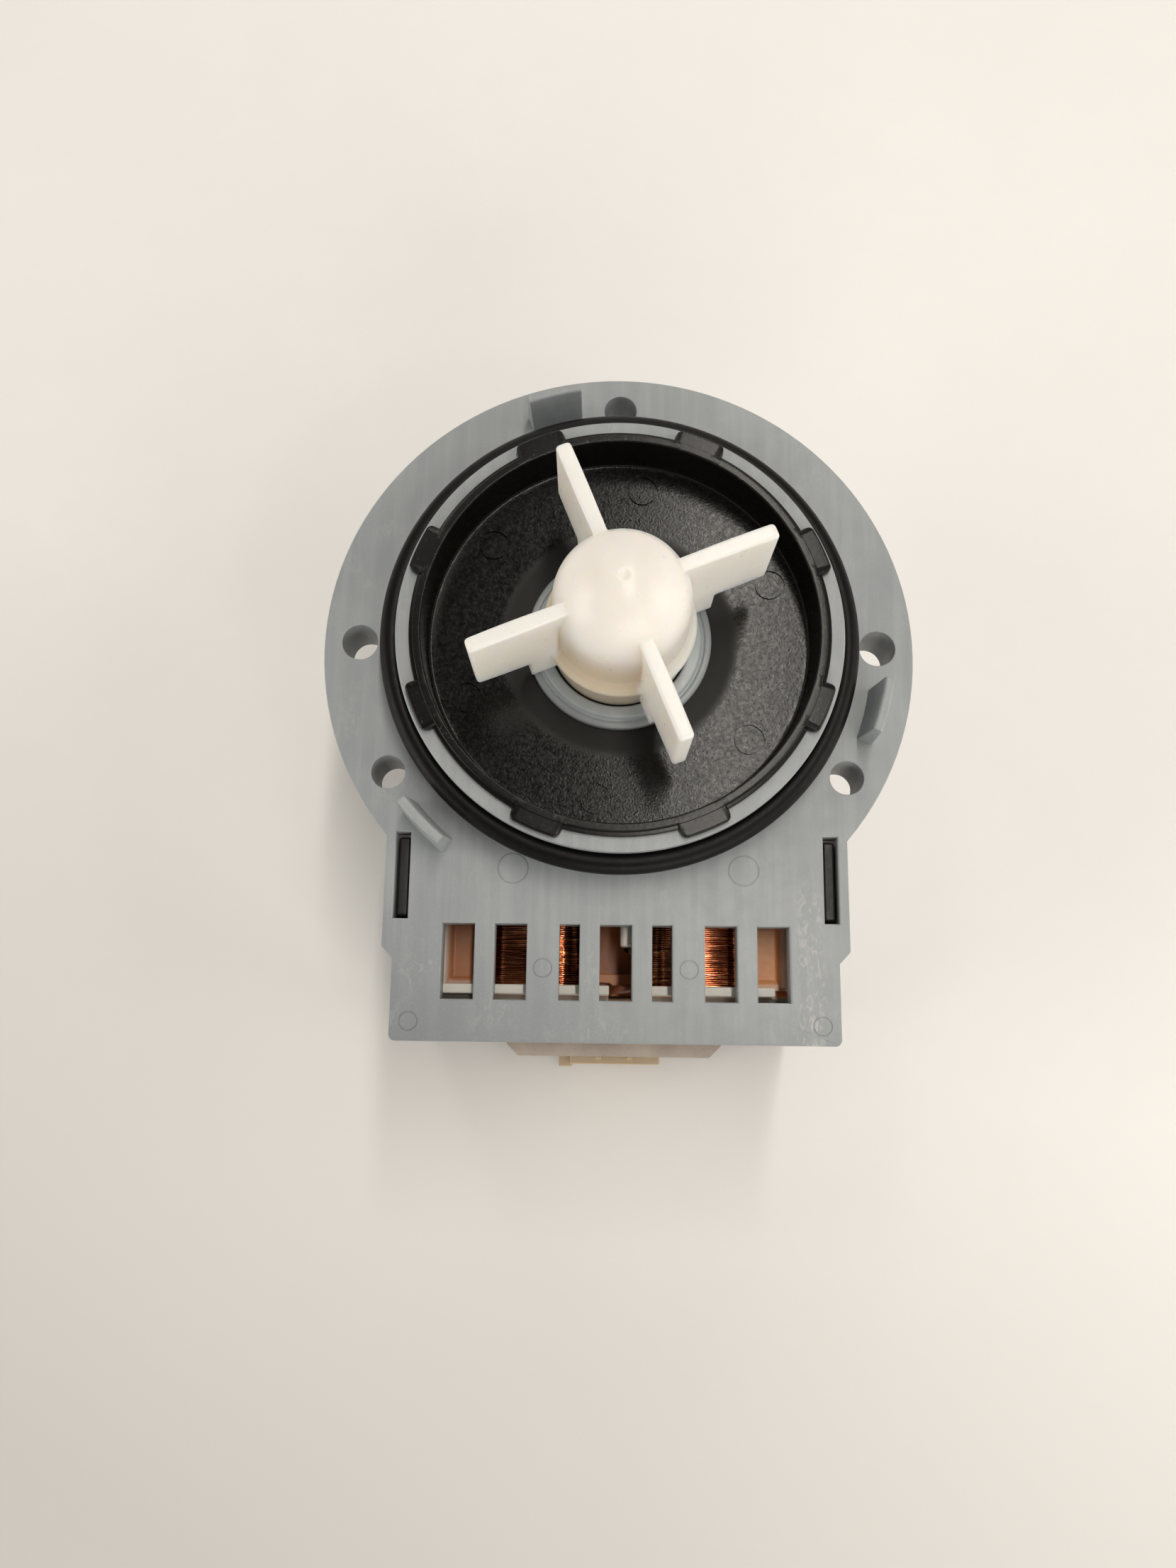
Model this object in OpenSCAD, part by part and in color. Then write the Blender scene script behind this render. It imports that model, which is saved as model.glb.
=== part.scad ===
// Washer drain pump, motor side: a synchronous motor with a gray moulded
// housing, a sealed rotor can, a loose-drive impeller and a U-shaped stator.
// Millimetres. The pump axis is Z and the flange's front face is Z = 0.

/* [Flange] */
// Radius of the round mounting flange
flange_r = 47.5; // [47:0.1:48]
// Thickness of the flange and of the coil box's front plate
flange_t = 3.5; // [3:0.1:3.8]
// Pitch circle diameter of the three main screw holes
screw_pcd = 83.6; // [83:0.1:84]
// Diameter of the three main screw holes
screw_d = 5.3; // [5:0.1:5.4]
// Distance between the two side screw holes
side_span = 83.5; // [83:0.1:84]
// Offset of the side screw holes above the axis
side_y = 0.5; // [0:0.1:0.8]
// Diameter of the two side screw holes
side_d = 5.7; // [5.6:0.1:5.9]
// Depth of the screw bosses, from the front face
boss_depth = 10; // [8:0.5:11]
// Height of the three locating ribs
rib_h = 8; // [6:0.5:9]

/* [Coil box] */
// Half width of the coil box near the flange
box_hw = 36; // [35.8:0.1:36.4]
// Half width of the coil box at its lower end
box_hw2 = 34.3; // [34.2:0.1:34.6]
// Lower edge of the coil box
box_end = 62.35; // [62:0.05:63]
// Depth of the coil box walls, from the front face
box_depth = 38; // [38:0.1:38.1]
// Height of the windows over the windings
win_h = 11.5; // [10:0.1:11.6]
// Width of the wide windows
win_w = 4.95; // [4.5:0.05:5.2]
// Width of the two narrow windows
win_w2 = 3.1; // [2.8:0.1:3.4]

/* [Collar and O-ring] */
// Height of the collar above the flange
collar_h = 9.5; // [9.4:0.1:9.5]
// Outer radius of the collar's upper lip
collar_r = 34.6; // [34.4:0.1:34.8]
// Section diameter of the O-ring
oring_d = 3.7; // [3.6:0.05:3.7]
// Radius of the O-ring's centre line
oring_r = 35.65; // [35.65:0.05:35.8]

/* [Rotor cover] */
// Height of the dish floor
dish_z = 3.5; // [3.5:0.1:3.6]
// Height of the dish rim
rim_z = 11; // [10.9:0.1:11.4]
// Number of bayonet lugs around the rim
lugs = 8; // [6:1:10]
// Angle that one lug covers
lug_deg = 14; // [10:1:14]
// Outer radius of the lugs
lug_r = 34; // [33.6:0.1:34.4]

/* [Impeller] */
// Number of vanes
vanes = 4; // [3:1:6]
// Angle of the first vane
vane_a0 = 22.35; // [0:0.05:90]
// Thickness of a vane
vane_t = 2.3; // [1.8:0.1:2.6]
// Radius of the vane tips
vane_r = 23.4; // [21:0.1:25]
// Top of the vanes
vane_top = 27.3; // [26:0.1:28]
// Underside of the vanes
vane_bot = 12.2; // [11.5:0.1:13]
// Underside of the feet that join the vanes to the hub
vane_foot = 6.6; // [6:0.1:8]
// Radius of the vanes' upper corners
tip_r = 0.8; // [0.5:0.1:1.2]
// Radius of the hub's dome
dome_r = 10.14; // [10:0.01:10.3]
// Height of the dome's centre
dome_z = 21.7; // [21.5:0.1:22]

/* [Rotor] */
// Shaft diameter
shaft_d = 5; // [5:0.1:5]
// Radial clearance of the running fits on the shaft
run = 0.05; // [0.03:0.01:0.08]
// Outer radius of the magnet
magnet_r = 14.4; // [14:0.1:14.5]
// Front end of the magnet, below the flange face
magnet_front = 14; // [14:0.1:14]
// Length of the magnet
magnet_len = 26; // [24:0.5:26]
// Angle of the driving sector, with its pads, and of the hub stop
sector_deg = 95; // [80:1:100]

/* [Stator] */
// Front of the lamination stack, below the flange face
stack_front = 10; // [10:0.5:10]
// Thickness of the lamination stack
stack_t = 22; // [22:0.5:22]
// Radius of the bore between the poles
bore_r = 17.4; // [17.3:0.1:17.6]

/* [Connector] */
// Width of the connector shroud
conn_w = 16.3; // [16:0.1:16.6]
// Pitch of the terminal blades
blade_pitch = 5; // [5:0.1:5]

/* [Hidden] */
$fn = 96;
eps = 0.01;
back_z = -50;                    // plane that the pump stands on
can_r = 17;                      // outside of the rotor can
can_ri = 15.2;                   // inside of the rotor can
boss_r = 4.05;                   // screw bosses
shaft_r = shaft_d / 2;
bush_ri = shaft_r + run;         // bearing bushes
bush_r = 5;
cup_r = 7.2;                     // rubber cups around the bushes
stack_back = stack_front + stack_t;
leg_in = 9;                      // stator legs, distance from the middle plane
leg_out = 17;
lug_a0 = 23;                     // middle of the first lug
coil_y0 = -53.55;                // lower and upper end of the windings
coil_y1 = -31;
leg_c = (leg_in + leg_out) / 2;
bob_z0 = -37;                    // back of the bobbin's end flanges
bob_z1 = -4.2;                   // front of the bobbin's end flanges
conn_x = 0.75;                   // centre of the connector
blade_x = 0.3;                   // centre of its two blades
conn_z0 = -47.2;
conn_z1 = -38;
win_y = -50.25;                  // middle of the windows
wins = [[0, win_w], [7.13, win_w2], [-7.13, win_w2], [16.15, win_w],
        [-16.15, win_w], [24.2, win_w], [-24.2, win_w]];
rib_angles = [105, 225, 345];    // locating ribs on the flange
gray = [0.50, 0.53, 0.56];
black = [0.06, 0.06, 0.06];
ivory = [0.86, 0.82, 0.70];
white = [0.95, 0.95, 0.93];
steel = [0.62, 0.62, 0.64];
copper = [0.62, 0.28, 0.12];

// ---------- helpers ----------

// Ring between two radii, from z0 up to z1
module ring(ri, ro, z0, z1) {
  translate([0, 0, z0]) difference() {
    cylinder(r = ro, h = z1 - z0);
    translate([0, 0, -1]) cylinder(r = ri, h = z1 - z0 + 2);
  }
}

// Block given by its low and high corners
module block(lo, hi) { translate(lo) cube(hi - lo); }

// Rectangle with round corners, centred
module rrect(w, h, r) {
  square([w - 2 * r, h], center = true);
  square([w, h - 2 * r], center = true);
  for (x = [-1, 1], y = [-1, 1])
    translate([x * (w / 2 - r), y * (h / 2 - r)]) circle(r = r, $fn = 32);
}

// Sector of a ring, centred on angle a
module sector(a, deg, ri, ro, z0, z1) {
  rotate([0, 0, a - deg / 2]) rotate_extrude(angle = deg)
    translate([ri, z0]) square([ro - ri, z1 - z0]);
}

// Round wire along a list of points; side is a direction that no stretch of it follows
function unit(v) = v / norm(v);
function along(p, i) = unit(p[min(i + 1, len(p) - 1)] - p[max(i - 1, 0)]);
module wire(p, r, side, n = 8) {
  m = len(p);
  pts = [for (i = [0 : m - 1]) let (t = along(p, i), a = unit(cross(t, side)), b = cross(t, a))
         for (k = [0 : n - 1]) p[i] + r * (cos(360 * k / n) * a + sin(360 * k / n) * b)];
  faces = concat(
    [[for (k = [0 : n - 1]) k]],
    [[for (k = [n - 1 : -1 : 0]) (m - 1) * n + k]],
    [for (i = [0 : m - 2], k = [0 : n - 1]) [i * n + k, (i + 1) * n + k, i * n + (k + 1) % n]],
    [for (i = [0 : m - 2], k = [0 : n - 1]) [i * n + (k + 1) % n, (i + 1) * n + k, (i + 1) * n + (k + 1) % n]]);
  polyhedron(pts, faces);
}

// Shallow ring left by an ejector pin
module pin_mark(r, d = 0.12, w = 0.22) { ring(r - w, r, -d, 1); }

// ---------- motor body ----------

module plate_outline() {
  circle(r = flange_r, $fn = 180);
  translate([-box_hw, -48.2]) square([2 * box_hw, 28.2]);
  polygon([[-box_hw, -48.2], [box_hw, -48.2], [box_hw2, -50], [-box_hw2, -50]]);
  translate([-box_hw2, -box_end + 1]) square([2 * box_hw2, box_end - 1 - 50]);
  translate([-box_hw2 + 1, -box_end]) square([2 * box_hw2 - 2, 2]);
  for (s = [-1, 1]) translate([s * (box_hw2 - 1), -box_end + 1]) circle(r = 1, $fn = 32);
}

module screw_places() {
  for (a = [90, 210, 330]) rotate([0, 0, a]) translate([screw_pcd / 2, 0, 0]) children(0);
  for (s = [-1, 1]) translate([s * side_span / 2, side_y, 0]) children(1);
}

module plate_cuts() {
  for (w = wins) translate([w[0], win_y, -flange_t - 1]) linear_extrude(flange_t + 2)
    square([w[1], win_h], center = true);
  for (s = [-1, 1]) translate([s * 33.3, -37.15, -flange_t - 1]) linear_extrude(flange_t + 2)
    square([2.3, 13.5], center = true);
}

module mounting_flange() color(gray) difference() {
  union() {
    translate([0, 0, -flange_t]) linear_extrude(flange_t) plate_outline();
    // locating ribs
    for (a = rib_angles) rotate([0, 0, a - 6]) rotate_extrude(angle = 12, $fn = 180)
      polygon([[40.6, -1], [43.3, -1], [43.3, 0], [42.95, rib_h - 0.3], [42.65, rib_h],
               [41.65, rib_h], [41.4, rib_h - 0.3], [40.6, 0]]);
    // screw bosses
    translate([0, 0, -boss_depth]) screw_places() {
      cylinder(r = boss_r, h = boss_depth - 1);
      cylinder(r = boss_r, h = boss_depth - 1);
    }
  }
  translate([0, 0, -20]) screw_places() {
    cylinder(d = screw_d, h = 30);
    cylinder(d = side_d, h = 30);
  }
  translate([0, 0, -12]) cylinder(r = can_ri, h = 20);
  plate_cuts();
  // faint rings of the ejector pins
  for (p = [[19.7, -35.9], [-16.1, -35.9]]) translate(p) pin_mark(2.45);
  for (p = [[11.2, -51.2], [-11.2, -51.2], [31.4, -59.4], [-31.4, -59.4]]) translate(p) pin_mark(1.5);
}

// Rim and stiffening ribs behind the flange, and the four seats that carry the stator
module flange_ribs() color(gray) union() {
  difference() {
    ring(45.9, flange_r, -7, -flange_t);
    block([-60, -60, -8], [60, -20, 0]);
  }
  for (a = [15, 75, 105, 165, 195, 345]) rotate([0, 0, a]) block([17.3, -0.8, -7], [46.5, 0.8, -flange_t]);
  for (a = [45, 135]) rotate([0, 0, a]) {
    block([17.3, -1, -7], [46.5, 1, -flange_t]);
    block([17.3, -1, -stack_front], [29, 1, -flange_t]);
  }
  for (a = [225, 315]) rotate([0, 0, a]) block([17.3, -1, -stack_front], [29, 1, -flange_t]);
  for (s = [0, 1]) mirror([s, 0, 0]) block([30, -60.6, -12], [31.2, -46, -flange_t]);
}

// Collar with the groove for the O-ring
module flange_collar() color(gray)
  rotate_extrude($fn = 180) polygon([[32, 0], [36, 0], [36, 3.2], [35.4, 3.8],
    [33.7, 3.8], [33.7, 7.7], [34.3, 7.7], [collar_r, 8.0], [collar_r, collar_h - 0.3],
    [collar_r - 0.3, collar_h], [32.6, collar_h], [32, collar_h - 0.6]]);

// Closed can around the rotor, with the seat of the rear bearing
module rotor_can() color(gray)
  rotate_extrude($fn = 120) polygon([[0, back_z], [can_r - 1.2, back_z], [can_r, back_z + 1.2],
    [can_r, -flange_t], [can_ri, -flange_t], [can_ri, back_z + 2.5], [cup_r + 1.6, back_z + 2.5],
    [cup_r + 1.6, -42], [cup_r + run, -42], [cup_r + run, back_z + 2.5], [0, back_z + 2.5]]);

module coil_box_walls() color(gray) for (s = [0, 1]) mirror([s, 0, 0])
  translate([0, 0, -box_depth]) linear_extrude(box_depth - flange_t) polygon([
    [box_hw, -26.2], [box_hw, -48.2], [box_hw2, -50], [box_hw2, -box_end + 1],
    [box_hw2 - 0.3, -box_end + 0.3], [box_hw2 - 1, -box_end], [17.7, -box_end], [17.7, -box_end + 1.5],
    [box_hw2 - 1.5, -box_end + 1.5], [box_hw2 - 1.5, -48.7], [34.6, -47], [34.6, -26.2]]);

// Spring clips that hold the stator from behind
module stator_clips() color(gray) for (s = [0, 1]) mirror([s, 0, 0])
  translate([0, 6, 0]) rotate([90, 0, 0]) linear_extrude(12)
    polygon([[26.3, -flange_t], [28.3, -flange_t], [28.3, -stack_back - 2.6], [26.0, -stack_back - 2.6],
             [24.9, -stack_back - 0.1], [26.3, -stack_back - 0.1]]);

module rotor_cover() color(black) difference() {
  union() {
    rotate_extrude($fn = 180) polygon([[13, 1.5], [28.6, 1.5], [30.2, 0], [31.9, 0],
      [31.9, collar_h], [32.3, collar_h], [32.4, collar_h + 0.1], [32.4, 10.1], [32.2, 10.3],
      [31.7, 10.3], [31.7, rim_z - 0.25], [31.45, rim_z], [30.65, rim_z], [30.45, rim_z - 0.2],
      [30.2, dish_z + 0.7], [30.0, dish_z + 0.2], [29.5, dish_z], [13, dish_z]]);
    for (k = [0 : lugs - 1]) rotate([0, 0, lug_a0 + k * 360 / lugs - lug_deg / 2])
      rotate_extrude(angle = lug_deg, $fn = 180)
        polygon([[31.5, collar_h], [lug_r, collar_h], [lug_r, rim_z - 0.6], [lug_r - 0.45, rim_z - 0.12],
                 [31.5, rim_z - 0.12]]);
  }
  for (k = [0 : 5]) rotate([0, 0, 22 + 60 * k]) translate([25.8, 0, dish_z]) pin_mark(2.5);
}

module collar_o_ring() color(black)
  rotate_extrude($fn = 180) translate([oring_r, 5.75]) circle(d = oring_d, $fn = 48);

module seal_carrier() color([0.66, 0.70, 0.73])
  rotate_extrude($fn = 120) polygon([[11.4, -9.5], [8.8, -9.5], [8.8, -5], [cup_r + run, -5],
    [cup_r + run, -12], [12.9, -12], [12.9, dish_z], [14.4, dish_z], [14.55, dish_z + 0.15],
    [14.55, 4.45], [14.3, 4.7], [13.6, 4.7], [13.45, 4.35], [13.05, 4.35], [12.85, 4.8], [12.65, 5.0],
    [11.3, 5.0], [11.0, 4.7], [11.0, 1.4], [11.4, 1.0]]);

module shaft_seal() color([0.08, 0.08, 0.08])
  rotate_extrude($fn = 96) polygon([[11.35, -3.4], [11.35, 0.4], [9.6, 0.4], [9.0, -1.9], [5.2, -1.9],
    [3.4, 1.2], [bush_ri, 1.2], [bush_ri, 0.7], [3.6, -2.2], [3.6, -3.4]]);

module front_bush() color([0.55, 0.42, 0.25]) ring(bush_ri, bush_r, -12, -5.2);

module front_bush_cup() color([0.10, 0.10, 0.10]) ring(bush_r + 0.02, cup_r, -12, -5);

module rear_bush() color([0.55, 0.42, 0.25]) ring(bush_ri, bush_r, -47, -42);

module rear_bush_cup() color([0.10, 0.10, 0.10]) ring(bush_r + 0.02, cup_r, back_z + 2.5, -42);

// ---------- rotor ----------

module rotor_shaft() color(steel) union() {
  translate([0, 0, -46.5]) cylinder(r1 = shaft_r - 0.4, r2 = shaft_r, h = 0.4);
  translate([0, 0, -46.1]) cylinder(r = shaft_r, h = 46.1 + 24.1);
  translate([0, 0, 24.1]) cylinder(r1 = shaft_r, r2 = shaft_r - 0.4, h = 0.4);
}

module magnet_hub() color([0.20, 0.20, 0.22]) difference() {
  union() {
    translate([0, 0, -magnet_front - magnet_len - 0.5]) cylinder(r = 6.98, h = magnet_len + 1);
  }
  translate([0, 0, -60]) cylinder(r = shaft_r + 0.01, h = 60);
}

module rotor_magnet() color([0.16, 0.16, 0.17])
  ring(7, magnet_r, -magnet_front - magnet_len, -magnet_front);

module thrust_washers() color([0.75, 0.73, 0.66]) {
  ring(shaft_r + 0.01, 5.4, -magnet_front + 0.5, -magnet_front + 1.4);
  ring(shaft_r + 0.01, 5.4, -magnet_front - magnet_len - 1.4, -magnet_front - magnet_len - 0.5);
}

// The dog drives the impeller after a free part-turn
module drive_dog() color([0.30, 0.30, 0.32]) translate([0, 0, 6.6]) linear_extrude(12.8) difference() {
  union() {
    circle(r = 4);
    intersection() {
      circle(r = 7.6);
      rotate(270) polygon([[0, 0], for (s = [-1, 1]) 12 * [cos(s * (sector_deg - 20) / 2), sin(s * (sector_deg - 20) / 2)]]);
    }
  }
  circle(r = shaft_r + 0.01);
}

module dog_pads() color([0.12, 0.12, 0.12]) for (s = [-1, 1])
  sector(270 + s * (sector_deg - 10) / 2, 9.8, 4.1, 7.5, 7, 19);

// ---------- impeller ----------

// Body of the hub's outside, without the vanes
module hub_shape() {
  translate([0, 0, 4]) cylinder(r = 10.7, h = 8);
  translate([0, 0, 11.8]) cylinder(r = 11.6, h = 0.8);
  translate([0, 0, 12.6 - eps]) cylinder(r1 = 11.6, r2 = 10.9, h = 1 + eps);
  translate([0, 0, 13.6 - eps]) cylinder(r1 = 10.9, r2 = 10.3, h = 1.5 + eps);
  translate([0, 0, 15.1 - eps]) cylinder(r1 = 10.3, r2 = dome_r, h = dome_z - 15.1 + eps);
  translate([0, 0, dome_z]) sphere(r = dome_r);
}

module impeller_hub() color(white) difference() {
  union() {
    difference() {
      hub_shape();
      translate([0, 0, 0]) cylinder(r = 8, h = 20);
      translate([0, 0, 19]) cylinder(r = bush_ri, h = 6);
    }
    // stop that the dog pushes against
    sector(90, sector_deg, 4.4, 8.2, 6.2, 20.2);
  }
  // sprue dimple on the dome
  translate([0, 0, dome_z + dome_r + 2.6]) sphere(r = 2.8, $fn = 48);
}

// A vane from the side: a long blade on a short foot
module vane_profile() {
  translate([8.3, vane_foot]) square([15 - 8.3, vane_top - vane_foot - 1]);
  translate([8.3, vane_bot]) square([vane_r - tip_r - 8.3, vane_top - vane_bot]);
  translate([8.3, vane_bot + 0.5]) square([vane_r - 8.3, vane_top - vane_bot - tip_r - 0.5]);
  translate([vane_r - tip_r, vane_top - tip_r]) circle(r = tip_r, $fn = 32);
  translate([vane_r - 0.5, vane_bot + 0.5]) circle(r = 0.5, $fn = 32);
  translate([vane_r - 1.3, vane_bot]) square([0.8, 1]);
}

module impeller_vanes() color(white) difference() {
  for (k = [0 : vanes - 1]) rotate([0, 0, vane_a0 + k * 360 / vanes])
    rotate([90, 0, 0]) translate([0, 0, -vane_t / 2]) linear_extrude(vane_t) vane_profile();
  hub_shape();
}

module hub_plug() color([0.90, 0.90, 0.88]) ring(bush_ri + 0.05, 7.97, 4.2, 6);

// ---------- stator ----------

module pole_outline() difference() {
  union() {
    translate([2, -29]) square([24 - 2, 47]);
    translate([20, -27]) square([6, 43]);
    polygon([[24, -29], [26, -27], [24, -27]]);
    polygon([[24, 18], [26, 16], [24, 16]]);
    translate([leg_in, -57]) square([leg_out - leg_in, 30]);
  }
  circle(r = bore_r, $fn = 180);
  translate([21.5, 12]) circle(r = 1.55, $fn = 32);
}

module stator_poles() color(steel) for (s = [0, 1]) mirror([s, 0, 0])
  translate([0, 0, -stack_back]) linear_extrude(stack_t) pole_outline();

module stator_yoke() color(steel) translate([0, 0, -stack_back]) linear_extrude(stack_t) difference() {
  polygon([[-17, -57], [-17, -62.7], [-15.2, -64.5], [15.2, -64.5], [17, -62.7], [17, -57]]);
  for (s = [-1, 1]) translate([s * 12.5, -59.6]) circle(r = 1.55, $fn = 32);
}

module core_rivets() color([0.70, 0.70, 0.72])
  for (p = [[21.5, 12], [-21.5, 12], [12.5, -59.6], [-12.5, -59.6]]) translate(p) {
    translate([0, 0, -stack_back - 1]) cylinder(r = 1.54, h = stack_t + 2);
    translate([0, 0, -stack_front]) cylinder(r1 = 2.6, r2 = 2.0, h = 1);
    translate([0, 0, -stack_back - 1]) cylinder(r1 = 2.0, r2 = 2.6, h = 1);
  }

module coil_bobbin() color(ivory) difference() {
  union() {
    block([-28.2, coil_y0 - 1.5, bob_z0], [25, coil_y0, bob_z1]);
    block([-27, coil_y1, bob_z0], [27, coil_y1 + 1.5, bob_z1]);
    block([-27, coil_y0 - 1.5, bob_z0 - 1], [27, coil_y1 + 1.5, bob_z0]);
    for (s = [-1, 1]) translate([s * leg_c, 0, 0])
      block([-5.2, coil_y0 - 0.5, -stack_back - 1.2], [5.2, coil_y1 + 0.5, -stack_front + 1.2]);
    // lip over the core, guards with a rim beside the windings, web and step between them
    block([-28.2, -56.6, -9.7], [-0.9, coil_y0 - 1, -8.8]);
    block([5, -56.6, -9.7], [28.4, coil_y0 - 1, -8.8]);
    block([24, -56.6, -9.7], [28.4, coil_y0 + 0.2, -8.8]);
    for (s = [0, 1]) mirror([s, 0, 0]) {
      block([21.3, coil_y0 - 0.5, -9.2], [28.5, coil_y1 + 0.5, -8]);
      block([21.3, coil_y0 - 0.5, -9.2], [28.5, coil_y0 + 0.9, -7.3]);
      block([26.3, coil_y0 - 0.5, -9.2], [28.5, coil_y1 + 0.5, -6.9]);
    }
    block([-4.6, coil_y0 - 0.5, -17.5], [4.6, coil_y1 + 0.5, -16.3]);
    block([-4.6, coil_y0 - 0.5, -17.5], [4.6, -51.3, -14.6]);
  }
  for (s = [-1, 1]) translate([s * leg_c, 0, 0])
    block([-4.2, -70, -stack_back - 0.2], [4.2, -20, -stack_front + 0.2]);
  // holes for the leads
  translate([-13, -50, bob_z0 - 3]) cylinder(r = 1.2, h = 5);
  translate([2.8, -49.5, bob_z0 - 3]) cylinder(r = 1.2, h = 5);
  translate([2.8, -46.7, -19]) cylinder(r = 1.1, h = 4);
  // notch over the link between the windings
  block([-0.9, coil_y0 - 2, -14.2], [5, coil_y0 + 1, 0]);
}

module winding() rotate([90, 0, 0]) translate([leg_c, -(stack_front + stack_back) / 2, -coil_y1])
  linear_extrude(coil_y1 - coil_y0) difference() {
    rrect(16, 29.6, 3);
    square([10.4, 24.4], center = true);
  }

module left_coil() color(copper) mirror([1, 0, 0]) winding();
module right_coil() color(copper) winding();

module coil_leads() color([0.45, 0.20, 0.10]) {
  // left winding to its blade
  wire([[-13, -50, -35.9], [-13, -50, -41], [-12.6, -49.9, -42.1], [-11.5, -49.7, -42.5], [-5, -48.6, -42.5], [-2.62, -48.5, -42.5]], 0.6, [0, 1, 0]);
  // right winding to the fuse
  wire([[4.95, -32.5, -10.2], [4.5, -32.5, -10.15], [3.8, -32.55, -9.7], [3.2, -32.6, -8.9], [2.7, -32.75, -7.7], [2.45, -33.1, -6.8],
        [2.4, -33.5, -6.4], [2.4, -33.95, -6.3]], 0.35, [0.6, -0.55, 0.58]);
  // fuse to its blade
  wire([[2.4, -47.55, -6.3], [2.4, -47.85, -6.35], [2.4, -48.1, -6.6], [2.42, -48.2, -7.1], [2.48, -48.15, -8], [2.55, -47.9, -10],
        [2.7, -47.3, -13], [2.8, -46.8, -16], [2.8, -46.7, -17.2], [2.8, -46.9, -18.6], [2.8, -47.7, -19.9], [2.8, -48.8, -21],
        [2.8, -49.4, -22.4], [2.8, -49.5, -24], [2.8, -49.5, -38], [2.8, -49.4, -38.8], [2.8, -49.3, -39.3], [2.8, -49.3, -39.66]], 0.35, [1, 0, 0]);
  // link between the two windings, in a sleeve over the notch
  wire([[4.95, -52.7, -13], [4.6, -52.7, -12.95], [4.25, -52.78, -12.65], [4.05, -52.9, -12.1], [3.95, -53.05, -11.3]], 0.35, [0, 1, 0]);
  wire([[3.95, -53.05, -11.4], [3.7, -53.25, -10.4], [3.1, -53.6, -9.2], [2.1, -53.9, -8.4], [1, -54, -8.4],
        [0.2, -54.05, -8.9], [-0.1, -54.05, -9.7]], 0.7, [0, 1, 0]);
  wire([[-0.12, -54.05, -9.8], [-0.2, -54, -11], [-0.35, -53.6, -12.6], [-0.7, -53.2, -13.7], [-1.6, -53.1, -14.05], [-4.95, -53.1, -14.05]], 0.35, [0, 1, 0]);
}

module thermal_fuse() color([0.90, 0.88, 0.82]) translate([2.4, -34, -6.3]) rotate([90, 0, 0])
  linear_extrude(13.5) rrect(3.2, 3.2, 0.6);

// ---------- connection and rear cover ----------

module blade_slots(gap) for (s = [-0.5, 0.5])
  block([blade_x + s * blade_pitch - 0.4 - gap, -64, -45.1 - gap], [blade_x + s * blade_pitch + 0.4 + gap, -47, -39.7 + gap]);

module connector_shroud() color(ivory) difference() {
  union() {
    block([conn_x - conn_w / 2, -66.5, conn_z0], [conn_x + conn_w / 2, -52, conn_z1]);
    // guide ribs on the front of the shroud, and a latch ear beside it
    for (s = [-1, 1]) block([0.6 + s * 2.8 - 0.6, -65.6, conn_z1 - 0.5], [0.6 + s * 2.8 + 0.6, -60.9, conn_z1 + 0.6]);
    block([conn_x - conn_w / 2 - 2, -67, conn_z0 + 4], [conn_x - conn_w / 2 + 0.5, -61.5, conn_z1 - 1]);
  }
  block([conn_x - conn_w / 2 + 1.3, -70, conn_z0 + 1.3], [conn_x + conn_w / 2 - 1.3, -55.5, conn_z1 - 1.2]);
  block([conn_x - conn_w / 2 + 3.5, -53.4, conn_z0 - 1], [conn_x + conn_w / 2 - 3.5, -50, conn_z1 - 1.2]);
  blade_slots(0.02);
}

module terminal_blades() color([0.72, 0.70, 0.64]) for (s = [-0.5, 0.5])
  translate([blade_x + s * blade_pitch - 0.4, 0, 0]) rotate([90, 0, 90]) linear_extrude(0.8)
    polygon([[-47, -45.1], [-47, -39.7], [-63, -39.7], [-64, -40.9], [-64, -43.9], [-63, -45.1]]);

module rear_cover() color(black) difference() {
  union() {
    block([-34.2, -60.8, back_z], [34.2, -31, -box_depth]);
    for (s = [0, 1]) mirror([s, 0, 0]) {
      block([32.4, -43.4, -box_depth - 1], [34.2, -31, -1.6]);
    }
  }
  block([-32.4, -59.3, back_z + 1.6], [32.4, -32.5, -box_depth + 1]);
  // mouth for the connector
  block([conn_x - conn_w / 2 - 0.6, -62, conn_z0 - 0.6], [conn_x + conn_w / 2 + 0.6, -58, -30]);
  // ventilation slots
  for (x = [-24 : 6 : 24]) translate([x, -40.5, back_z - 1]) linear_extrude(4) {
    square([2.4, 9], center = true);
    for (s = [-1, 1]) translate([0, s * 4.5]) circle(r = 1.2, $fn = 32);
  }
}

mounting_flange();
flange_ribs();
flange_collar();
rotor_can();
coil_box_walls();
stator_clips();
rotor_cover();
collar_o_ring();
seal_carrier();
shaft_seal();
front_bush();
front_bush_cup();
rear_bush();
rear_bush_cup();
rotor_shaft();
magnet_hub();
rotor_magnet();
thrust_washers();
drive_dog();
dog_pads();
impeller_hub();
impeller_vanes();
hub_plug();
stator_poles();
stator_yoke();
core_rivets();
coil_bobbin();
left_coil();
right_coil();
coil_leads();
thermal_fuse();
connector_shroud();
terminal_blades();
rear_cover();
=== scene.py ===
import bpy, bmesh, math, random
from math import pi, sin, cos, tan, sqrt, radians, atan2, hypot
from mathutils import Vector, Matrix, noise as mnoise


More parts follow.
